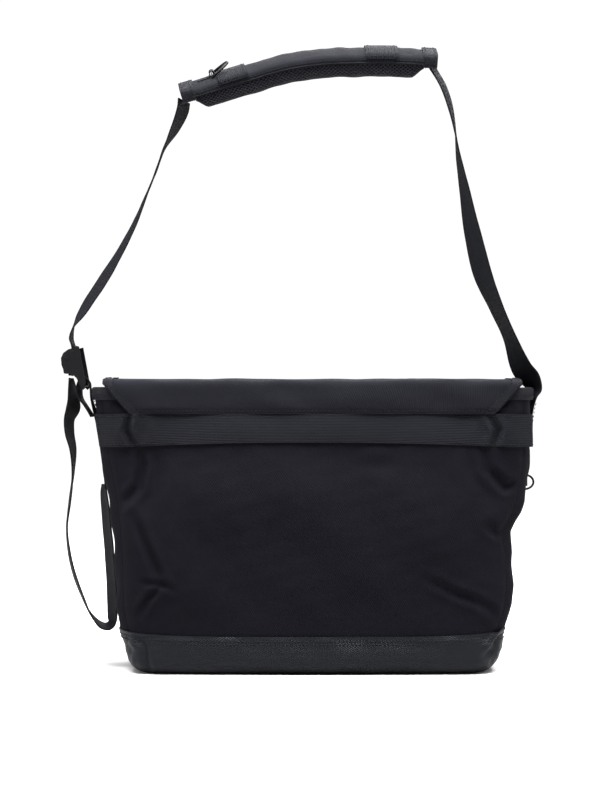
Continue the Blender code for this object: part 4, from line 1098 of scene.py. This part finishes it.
# %% Pocket and patches
def make_pocket():
    z, share = np.meshgrid(np.linspace(0.050, POCKET_TOP, 60), np.linspace(1, -1, 110), indexing="ij")
    x = share * 0.1655
    side = np.minimum((1 - np.abs(share)) * 0.1655, (z - 0.050))
    stand = smooth(side / 0.010)
    y = half_depth(z) + 0.004 * (1 - (x / 0.19) ** 2) + 0.0010 + 0.0024 * stand
    y = y + 0.0012 * stand * (0.4 + ripples(x, z, 0.09, seed=51)) * smooth((0.215 - z) / 0.02)
    grid = np.stack([x, y, z], -1)
    piece = thick_sheet("pocket_cloth", grid, 0.0010, TWILL)
    attach(piece, "nylon", "front_pocket")
    top = grid[-1]
    fold = np.array([(0.0010, -0.0105), (0.0014, -0.0095), (0.0015, -0.0030), (0.0012, 0.0004),
                     (0.0002, 0.0012), (-0.0010, 0.0006), (-0.0016, -0.0020)])
    rim = np.stack([top + [0, out, up] for out, up in fold])
    flat = flat_uv(travelled(fold)[:, None], np.linspace(0, 0.331, 110)[None, :])
    tape = thick_sheet("pocket_tape", rim, 0.0008, TAPE, uv=flat)
    attach(tape, "webbing", "pocket_binding")
    out = np.tile([0.0, 1.0, 0.0], (110, 1))
    edge = [line_on(grid, column=c, lift=0.0002) for c in (0.012, 0.988)]
    sew("pocket_stitches", [(rim[1] - [0, 0, -0.0012], out), line_on(grid, row=0.022, lift=0.0002), *edge])


def make_patches():
    for node, body, side in (("loop_patch_left", "bag", 1), ("loop_patch_right", "bag", 1),
                             ("hook_patch_left", "flap_front", -1), ("hook_patch_right", "flap_front", -1)):
        low, high = box_of(node)
        z, share = np.meshgrid(np.linspace(low[2], high[2], 12), np.linspace(1, -1, 24), indexing="ij")
        x = (low[0] + high[0]) / 2 + share * (high[0] - low[0]) / 2
        if side > 0:
            y = pocket_y(z) + 0.0018 + 0 * x
        else:
            x, y = x[:, ::-1], front_y(z) - 0.0016 + 0 * x
        grid = np.stack([x, y, z], -1)
        piece = thick_sheet(node.replace("patch", "tape_patch"), grid, 0.0012, HOOK_TAPE)
        attach(piece, "air_mesh", node, body=body)


make_pocket()
make_patches()


# %% [markdown]
# ## The inside
# Light cloth lines the bag and hangs a little slack. A padded divider stands near the back to hold a
# laptop, bound along its top, with a flat zipped pocket on its front.

# %% Lining, divider and zip
def make_lining():
    z = np.concatenate([0.009 + 0.014 * (1 - np.cos(np.linspace(0, np.pi / 2, 6))),
                        np.linspace(0.026, 0.2755, 60)])
    tight = np.where(z < 0.023, 0.014 - np.sqrt(np.maximum(0.014 ** 2 - (0.023 - z) ** 2, 0)), 0.0)
    slack = 0.0074 - 0.0042 * smooth((z - 0.262) / 0.012)
    grid = ring_grid(z[:, None], 60, (-slack - tight)[:, None])
    x, y, zz = grid[..., 0], grid[..., 1], grid[..., 2]
    edge = smooth((zz - 0.02) / 0.03) * smooth((0.272 - zz) / 0.03)
    push = -0.0010 * edge * (1 + ripples(x + y, 1.3 * zz, 0.07, seed=61))
    grid = sway(grid + normals(grid, wrap=True) * push[..., None])
    whole = with_floor(grid, (0.0005, 0.4, 0.8), -0.0002)
    step, m = 0.0044, whole.shape[1]
    up = np.concatenate([[-0.16, -0.10, -0.04], travelled(grid[:, 0])])
    piece = thick_sheet("lining_skin", whole, 0.0006, LINING_CLOTH, wrap=True, sharp=80, period=m * step,
                        uv=flat_uv(np.arange(m)[None, :] * step, up[:, None]))
    attach(piece, "lining", "lining", "base_board")


def rounded_ring(half_a, half_b, power, count):
    """A closed outline between an ellipse and a rectangle: sign(cos) |cos|^power, and the same with sin."""
    turn = 2 * np.pi * (np.arange(count) + 0.5) / count
    c, s = np.cos(turn), np.sin(turn)
    return half_a * np.sign(c) * np.abs(c) ** power, half_b * np.sign(s) * np.abs(s) ** power


def make_divider():
    low, high = box_of("inner_divider")
    middle, half = (low + high) / 2, (high - low) / 2
    share = np.linspace(0, 1, 50)
    a, b = rounded_ring(1.0, 1.0, 0.35, 96)
    plump = 0.72 + 0.28 * np.sin(np.pi * np.clip(share, 0.02, 0.98)) ** 0.4
    x = middle[0] + half[0] * a[None, :] * np.ones((50, 1))
    y = middle[1] + half[1] * b[None, :] * plump[:, None]
    z = lerp(low[2], high[2], share)[:, None] + 0 * x
    quilt = 0.0005 * np.cos(2 * np.pi * x / 0.055) * np.cos(2 * np.pi * z / 0.055) * np.sign(b)[None, :]
    rings = np.stack([x, y + quilt, z], -1)
    piece = tube("divider_pad", rings, LINING_CLOTH, uv=np.stack([x, z], -1))
    attach(piece, "lining", "inner_divider")
    fold = np.array([(half[1] + 0.0010, -0.0110), (half[1] + 0.0014, -0.0020), (half[1] + 0.0004, 0.0010),
                     (0.0, 0.0017), (-half[1] - 0.0004, 0.0010), (-half[1] - 0.0014, -0.0020),
                     (-half[1] - 0.0010, -0.0110)])
    along = np.linspace(half[0], -half[0], 60)
    rim = np.stack([np.stack([along, middle[1] + out + 0 * along, high[2] + up + 0 * along], -1)
                    for out, up in fold])
    flat = flat_uv(travelled(fold)[:, None], along[None, :])
    tape = thick_sheet("divider_tape", rim, 0.0009, TAPE, uv=flat)
    attach(tape, "webbing", "divider_binding")
    out = np.tile([0.0, 1.0, 0.0], (60, 1))
    sew("divider_stitches", [(rim[0] + [0, 0.0001, 0.0015], out)])


def make_zip():
    low, high = box_of("zip_tape")
    x, z = np.meshgrid(np.linspace(high[0], low[0], 60), np.linspace(low[2], high[2], 10))
    piece = thick_sheet("zip_tape_cloth", np.stack([x, high[1] + 0 * x, z], -1), 0.0007, TAPE,
                        uv=np.stack([z, x], -1))
    attach(piece, "webbing", "zip_tape")
    low, high = box_of("zip_coil")
    turns = int((high[0] - low[0]) / 0.0019)
    angle = np.linspace(0, 2 * np.pi * turns, turns * 10 + 1)
    wire = 0.00042
    path = np.stack([np.linspace(low[0] + 0.001, high[0] - 0.001, len(angle)),
                     (low[1] + high[1]) / 2 + (high[1] - low[1] - 2 * wire) / 2 * np.cos(angle),
                     (low[2] + high[2]) / 2 + (high[2] - low[2] - 2 * wire) / 2 * np.sin(angle)], -1)
    coil = round_tube("zip_coil_teeth", path, wire, MOULDED, sides=6)
    attach(coil, "plastic", "zip_coil")
    low, high = box_of("inner_pocket")
    x, z = np.meshgrid(np.linspace(high[0], low[0], 70), np.linspace(low[2], high[2], 40))
    edge = np.minimum(np.minimum(x - low[0], high[0] - x), z - low[2])
    y = low[1] + 0.0006 + 0.0009 * smooth(edge / 0.008) * (1 + 0.5 * ripples(x, z, 0.06, seed=66))
    grid = np.stack([x, y, z], -1)
    pocket = thick_sheet("zip_pocket_cloth", grid, 0.0005, LINING_CLOTH)
    attach(pocket, "lining", "inner_pocket")
    sew("zip_pocket_stitches", [line_on(grid, row=0.02, lift=0.0001), line_on(grid, column=0.01, lift=0.0001),
                                line_on(grid, column=0.99, lift=0.0001)], length=0.0022)


def round_tube(name, path, radius, finish, sides):
    """A circle of radius round each point of the path, in a frame that turns as little as it can."""
    way_on = unit(np.gradient(path, axis=0))
    spread = way_on.max(0) - way_on.min(0) + np.abs(way_on).mean(0)
    side = unit(np.cross(np.eye(3)[int(np.argmin(spread))], way_on))
    up = np.cross(way_on, side)
    turn = 2 * np.pi * np.arange(sides) / sides
    rings = path[:, None] + radius * (np.cos(turn)[None, :, None] * side[:, None]
                                      + np.sin(turn)[None, :, None] * up[:, None])
    return tube(name, rings, finish)


make_lining()
make_divider()
make_zip()


# %% [markdown]
# ## The shoulder strap
# Webbing is a flat ribbon with a thickness of a millimetre and a half, and it twists as it hangs, because
# the pad turns it one way and the buckle another. Each run follows a spline of places and twists, and a
# rounded oblong is carried along it. The places are shares of the body and of the strap's rise, as in the
# frame, so that each run lies where its solid lies. The loose tail below the buckle hangs free in a long
# loop and comes back into the side seam.

# %% Ways of the webbing
WEB_W, WEB_T = 0.032, 0.0015  # the webbing's width and thickness
STRAP_RISE = 0.2963
BUCKLE_AT = np.array([-0.2430, 0.3076])
BUCKLE_TILT = math.radians(-10.4)
RIGHT_WAY = [
    (-0.1929, 0.0069, 0), (-0.0857, 0.0061, 0), (-0.0300, 0.0064, 6), (0.0000, 0.0076, 16),
    (0.0367, 0.0096, 32), (0.0767, 0.0092, 32), (0.1767, 0.0196, 17), (0.2800, 0.0284, 19),
    (0.3800, 0.0377, 28),
    (0.4800, 0.0515, 27), (0.5800, 0.0668, 20), (0.6800, 0.0832, 11), (0.7800, 0.0994, 2),
    (0.8800, 0.1170, -8), (0.9567, 0.1291, -14), (1.0233, 0.1366, -17), (1.0867, 0.1396, -18),
]
LEFT_WAY = [
    (0.9733, 0.1227, 18), (0.9400, 0.1170, 16), (0.8833, 0.1117, 9), (0.8133, 0.1076, -4),
    (0.7333, 0.0988, -5), (0.6633, 0.0921, -8), (0.5633, 0.0828, -13), (0.4633, 0.0763, -18),
    (0.3633, 0.0727, -23), (0.2633, 0.0702, -20), (0.2133, 0.0680, -8), (0.1733, 0.0622, 0),
]
TAIL_WAY = [
    (0.0367, 0.0332, 0), (0.0000, 0.0237, 8), (-0.0393, 0.0243, 14), (-0.0714, 0.0262, 18),
    (-0.1107, 0.0316, 11), (-0.1607, 0.0331, 9), (-0.2214, 0.0322, 4), (-0.3071, 0.0352, -4),
    (-0.4000, 0.0412, -8), (-0.5000, 0.0472, -7), (-0.6071, 0.0472, -11), (-0.7071, 0.0416, -12),
    (-0.8040, 0.0318, -8), (-0.8480, 0.0232, 0), (-0.8580, 0.0150, 8), (-0.8380, 0.0090, 20),
    (-0.7714, 0.0070, 23), (-0.6607, 0.0062, 22), (-0.5357, 0.0058, 21), (-0.4429, 0.0056, 20),
    (-0.3786, 0.0052, 17), (-0.3443, 0.0042, 12),
]
ANCHOR_WAY = [
    (-0.3571, 0.0020, 0), (-0.2857, 0.0017, 0), (-0.2036, 0.0018, 0), (-0.1286, 0.0024, 0),
    (-0.0714, 0.0041, 2), (-0.0321, 0.0052, 4), (0.0000, 0.0047, 4), (0.0227, 0.0106, 4),
    (0.0340, 0.0171, 4), (0.0260, 0.0199, 4), (0.0000, 0.0163, 4), (-0.0321, 0.0162, 2),
    (-0.0571, 0.0127, 0), (-0.0821, 0.0093, 0), (-0.1000, 0.0073, 0),
]
IN_BUCKLE = [(0.0060, 0.0120), (0.0061, 0.0040), (0.0060, -0.0030), (0.0044, -0.0085), (0.0008, -0.0125),
             (-0.0020, -0.0170)]


def placed(side, rows):
    """(up, out, twist) to (x, z, twist): below the mouth along the body's side, above it along the rise."""
    up, out, twist = np.array(rows, float).T
    below = side * (half_width(MOUTH_Z * (1 + up)) + out), MOUTH_Z * (1 + up)
    above = side * (0.2165 * (1 - up) + out), MOUTH_Z + STRAP_RISE * up
    return np.stack([np.where(up < 0, below[0], above[0]), np.where(up < 0, below[1], above[1]), twist], -1)


def frames_of(line):
    """Middles, sides and ups along (x, z, twist): the width lies in depth, turned by the twist."""
    x, z, twist = line.T
    way_on = unit(np.gradient(np.stack([x, 0 * x, z], -1), axis=0))
    across = np.stack([-way_on[:, 2], 0 * x, way_on[:, 0]], -1)
    angle = np.radians(twist)[:, None]
    side = np.array([[0.0, 1.0, 0.0]]) * np.cos(angle) + across * np.sin(angle)
    return np.stack([x, 0 * x, z], -1), side, np.cross(way_on, side)


def oblong(width, thick, middle=9):
    """A flat section with round edges, as (side, up, curl): half-circles at both ends, points between."""
    half = width / 2 - thick / 2
    turn = np.linspace(-np.pi / 2, np.pi / 2, 5)
    right = np.stack([half + thick / 2 * np.cos(turn), thick / 2 * np.sin(turn)], -1)
    run = np.linspace(half, -half, middle + 2)[1:-1]
    top = np.stack([run, np.full(middle, thick / 2)], -1)
    return np.concatenate([right, top, -right, -top])


def ribbon(name, line, seed, curl=0.0006):
    """The oblong carried along the line, its edges curled up by curl and its middle waving slightly."""
    middle, side, up = frames_of(line)
    section = oblong(WEB_W, WEB_T)
    s, n, at = section[None, :, 0], section[None, :, 1], travelled(middle)[:, None]
    lift = curl * (2 * s / WEB_W) ** 2 + 0.0002 * ripples(at, s, 0.03, seed=seed)
    rings = middle[:, None] + side[:, None] * s[..., None] + up[:, None] * (n + lift)[..., None]
    return tube(name, rings, WEBBING, uv=flat_uv(s, at), sharp=70), middle, side, up


def edge_rows(middle, side, up, part, out, lift):
    """Two lines for stitches along part of a ribbon, out from its middle and lift above it."""
    return [(middle[part] + side[part] * s + up[part] * lift, up[part]) for s in (-out, out)]


# %% Strap, tail and anchor
def make_straps():
    tilt_c, tilt_s = math.cos(BUCKLE_TILT), math.sin(BUCKLE_TILT)
    inside = [(BUCKLE_AT[0] + tilt_c * a + tilt_s * b, BUCKLE_AT[1] - tilt_s * a + tilt_c * b, 0)
              for a, b in IN_BUCKLE]
    left_rows = np.concatenate([placed(-1, LEFT_WAY), inside])
    made = {}
    for name, rows, node, seed, curl in (
            ("strap_right_webbing", placed(1, RIGHT_WAY), "strap_right_run", 71, 0.0006),
            ("strap_left_webbing", left_rows, "strap_left_run", 72, 0.0006),
            ("anchor_loop_webbing", placed(-1, ANCHOR_WAY), "anchor_webbing", 73, 0.0002),
            ("strap_tail_webbing", placed(-1, TAIL_WAY), "strap_tail", 74, 0.0009)):
        made[node] = ribbon(name, spline(rows, 8), seed, curl)
        attach(made[node][0], "webbing", node)
    _, middle, side, up = made["strap_right_run"]
    _, a_mid, a_side, a_up = made["anchor_webbing"]
    sew("strap_stitches", edge_rows(middle, side, -up, slice(2, 14), 0.0135, 0.0010)
        + edge_rows(a_mid, a_side, -a_up, slice(4, 40), 0.0138, 0.00105))


make_straps()


# %% [markdown]
# ## The shoulder pad
# The pad is a curved sandwich: twill over foam, with an open mesh against the shoulder, bound at both
# ends, and two loops of webbing hold the strap down on it. Its cross-section is an upside-down hood over a
# rounded tray. Both are carried along the pad's own line, tilted so that the mesh shows from behind.

# %% The pad's own coordinates
PAD_WAY = np.array([(-0.1290, 0.9833), (-0.0985, 1.0143), (-0.0665, 1.0470), (-0.0275, 1.0850),
                    (0.0110, 1.1040), (0.0490, 1.1085), (0.0880, 1.1075), (0.1230, 1.1010)])
PAD_TILT = math.radians(18)


def pad_frame(share):
    """At shares of the pad's length: its middle, its way on, its up and its side."""
    line = spline(np.stack([PAD_WAY[:, 0], MOUTH_Z + STRAP_RISE * PAD_WAY[:, 1]], -1), 16)
    line = evenly(line, 400)
    at = np.linspace(0, 1, 400)
    slope = unit(np.gradient(line, axis=0))
    length = travelled(line)[-1]
    x, z = (np.interp(share, at, line[:, k]) for k in (0, 1))
    sx, sz = (np.interp(share, at, slope[:, k]) for k in (0, 1))
    over = np.where(share < 0, share, np.where(share > 1, share - 1, 0.0)) * length
    x, z = x + over * sx, z + over * sz
    middle = np.stack([x, 0 * x, z], -1)
    way_on = np.stack([sx, 0 * sx, sz], -1)
    plain_up = np.stack([-sz, 0 * sx, sx], -1)
    flat = np.array([0.0, 1.0, 0.0])
    up = math.cos(PAD_TILT) * plain_up - math.sin(PAD_TILT) * flat
    side = math.cos(PAD_TILT) * flat + math.sin(PAD_TILT) * plain_up
    return middle, way_on, up, side, length


def pad_grid(share, section, size=None, deep=None):
    """A section (side, up) at each share; size scales its width, and deep what lies below its middle."""
    middle, _, up, side, length = pad_frame(share)
    size = np.ones(len(share)) if size is None else size
    deep = np.ones(len(share)) if deep is None else deep
    s = section[None, :, 0] * size[:, None]
    n = section[None, :, 1] * np.where(section[None, :, 1] < 0, deep[:, None], 1.0)
    grid = middle[:, None] + side[:, None] * s[..., None] + up[:, None] * n[..., None]
    uv = flat_uv(travelled(section)[None, :], (share * length)[:, None])
    return grid, uv


def hood(half, top, low, crown, round_r=0.005, flat_count=11):
    """From one hem, round a corner, over a crowned top, and down to the other hem."""
    turn = np.linspace(0, np.pi / 2, 5)
    corner = np.stack([half - round_r + round_r * np.cos(turn), top - round_r + round_r * np.sin(turn)], -1)
    run = np.linspace(half - round_r, -(half - round_r), flat_count + 2)[1:-1]
    over = np.stack([run, top + crown * (1 - (run / (half - round_r)) ** 2)], -1)
    wall = np.array([(half, low), (half + 0.0002, lerp(low, top - round_r, 0.5))])
    return np.concatenate([wall, corner, over, (corner * [-1, 1])[::-1], (wall * [-1, 1])[::-1]])


def closed_section(half, low, high, power, count=44):
    """A rounded ring from low to high, half its width to each side."""
    a, b = rounded_ring(half, (high - low) / 2, power, count)
    return np.stack([a, b + (high + low) / 2], -1)


# %% Pad pieces
def make_pad():
    share = np.linspace(0.046, 0.954, 90)
    plump = ripples(share[:, None], np.arange(44)[None, :] / 44, 0.11, seed=81)
    section = closed_section(0.0268, -0.0142, 0.0050, 0.55)
    full = smooth(np.minimum(share - 0.040, 0.960 - share) / 0.05)
    grid, uv = pad_grid(share, section, size=0.96 + 0.04 * full, deep=0.25 + 0.75 * full)
    grid = push_out(grid, 0.0004 * plump)
    under = tube("pad_air_mesh", grid, AIR_MESH, uv=uv)
    attach(under, "air_mesh", "pad_mesh", "pad_foam")
    share = np.linspace(0.025, 0.975, 90)
    cover = hood(0.0292, 0.0097, 0.0026, 0.0018)
    grid, uv = pad_grid(share, cover)
    ends = smooth(np.minimum(share - 0.03, 0.97 - share) / 0.04)[:, None]
    wave = 0.0006 * ripples(share[:, None], np.linspace(0, 0.1, grid.shape[1])[None, :], 0.09, seed=82)
    grid = push_out(grid, -wave * ends)
    top = thick_sheet("pad_cover_cloth", grid, 0.0013, PAD_CLOTH_PAINTED_LIGHT, uv=uv)
    attach(top, "nylon", "pad_cover", "strap_in_pad")
    stitched = [(grid[:, k], normals(grid)[:, k]) for k in (2, grid.shape[1] - 3)]
    for side, label in ((-1, "rear"), (1, "fore")):
        middle, _, up, across, _ = pad_frame(np.linspace(0.020, 0.980, 120))
        path = middle + across * (side * 0.0288) + up * 0.0018
        attach(round_tube(f"pad_piping_{label}", path, 0.0012, TAPE, sides=8), "webbing")
    for label, first, last, node in (("left", -0.004, 0.052, "pad_end_left"),
                                     ("right", 0.948, 1.004, "pad_end_right")):
        span = np.linspace(first, last, 16)
        outer = 1 - np.abs(np.linspace(-1, 1, 16)) ** 6 * 0.05
        section = closed_section(0.0300, -0.0030, 0.0122, 0.42, count=52)
        grid, uv = pad_grid(span, section, size=outer)
        piece = tube(f"pad_end_binding_{label}", grid, TAPE, uv=uv[..., ::-1])
        attach(piece, "webbing", node)
        for row in (3, 12):
            ring = np.r_[np.arange(52), 0]
            stitched.append((grid[row, ring], unit(grid[row, ring] - grid[row].mean(0))))
    for label, first, last, node in (("left", 0.150, 0.266, "pad_loop_left"),
                                     ("right", 0.727, 0.852, "pad_loop_right")):
        span = np.linspace(first, last, 22)
        section = hood(0.0308, 0.0116, 0.0058, 0.0020, flat_count=13)
        grid, uv = pad_grid(span, section)
        piece = thick_sheet(f"pad_loop_webbing_{label}", grid, 0.0014, WEBBING, uv=uv[..., ::-1])
        attach(piece, "webbing", node)
        normal = normals(grid)
        flip = 1.0 if (normal[11, grid.shape[1] // 2, 2] > 0) else -1.0
        for row in (2, 19):
            stitched.append((grid[row], normal[row] * flip))
        for column in (3, grid.shape[1] - 4):
            stitched.append((grid[:, column], normal[:, column] * flip))
    sew("pad_stitches", stitched, thick=0.00036)


def make_tabs():
    """Folds of narrow webbing that hold the two rings, over the frame's own tabs."""
    share, lift, foot = 0.135, 0.0153, np.array([(0.0030 * math.cos(a), 0.0030 * math.sin(a))
                                                 for a in np.linspace(-0.9, 3.75, 14)])
    middle, way_on, up, side, _ = pad_frame(np.array([share]))
    line = np.concatenate([foot, [(-0.0044, -0.0027), (-0.0120, -0.0029), (-0.0160, -0.0030)]])
    across = np.linspace(-0.0062, 0.0062, 7)
    grid = (middle[0] + up[0] * lift + way_on[0] * line[:, :1, None] + up[0] * line[:, 1:, None]
            + side[0] * across[None, :, None])
    tab = thick_sheet("pad_ring_webbing", grid, 0.0010, TAPE)
    attach(tab, "webbing", "pad_ring_tab")
    low, high = box_of("side_ring_tab")
    middle_y, reach = (low[1] + high[1]) / 2, 0.0031
    turn = np.linspace(-2 * np.pi / 3, 2 * np.pi / 3, 14)
    bar = high[0] - 0.0030
    hook = np.stack([bar + reach * np.cos(turn), middle_y + reach * np.sin(turn)], -1)
    hook = np.concatenate([[(low[0] - 0.004, hook[0, 1])], hook, [(low[0] - 0.004, hook[-1, 1])]])
    rows = np.linspace(low[2], high[2], 6)
    grid = np.stack([np.concatenate([hook, np.full((len(hook), 1), z)], 1) for z in rows])
    tab = thick_sheet("side_ring_webbing", grid, 0.0010, TAPE)
    attach(tab, "webbing", "side_ring_tab")


make_pad()
make_tabs()
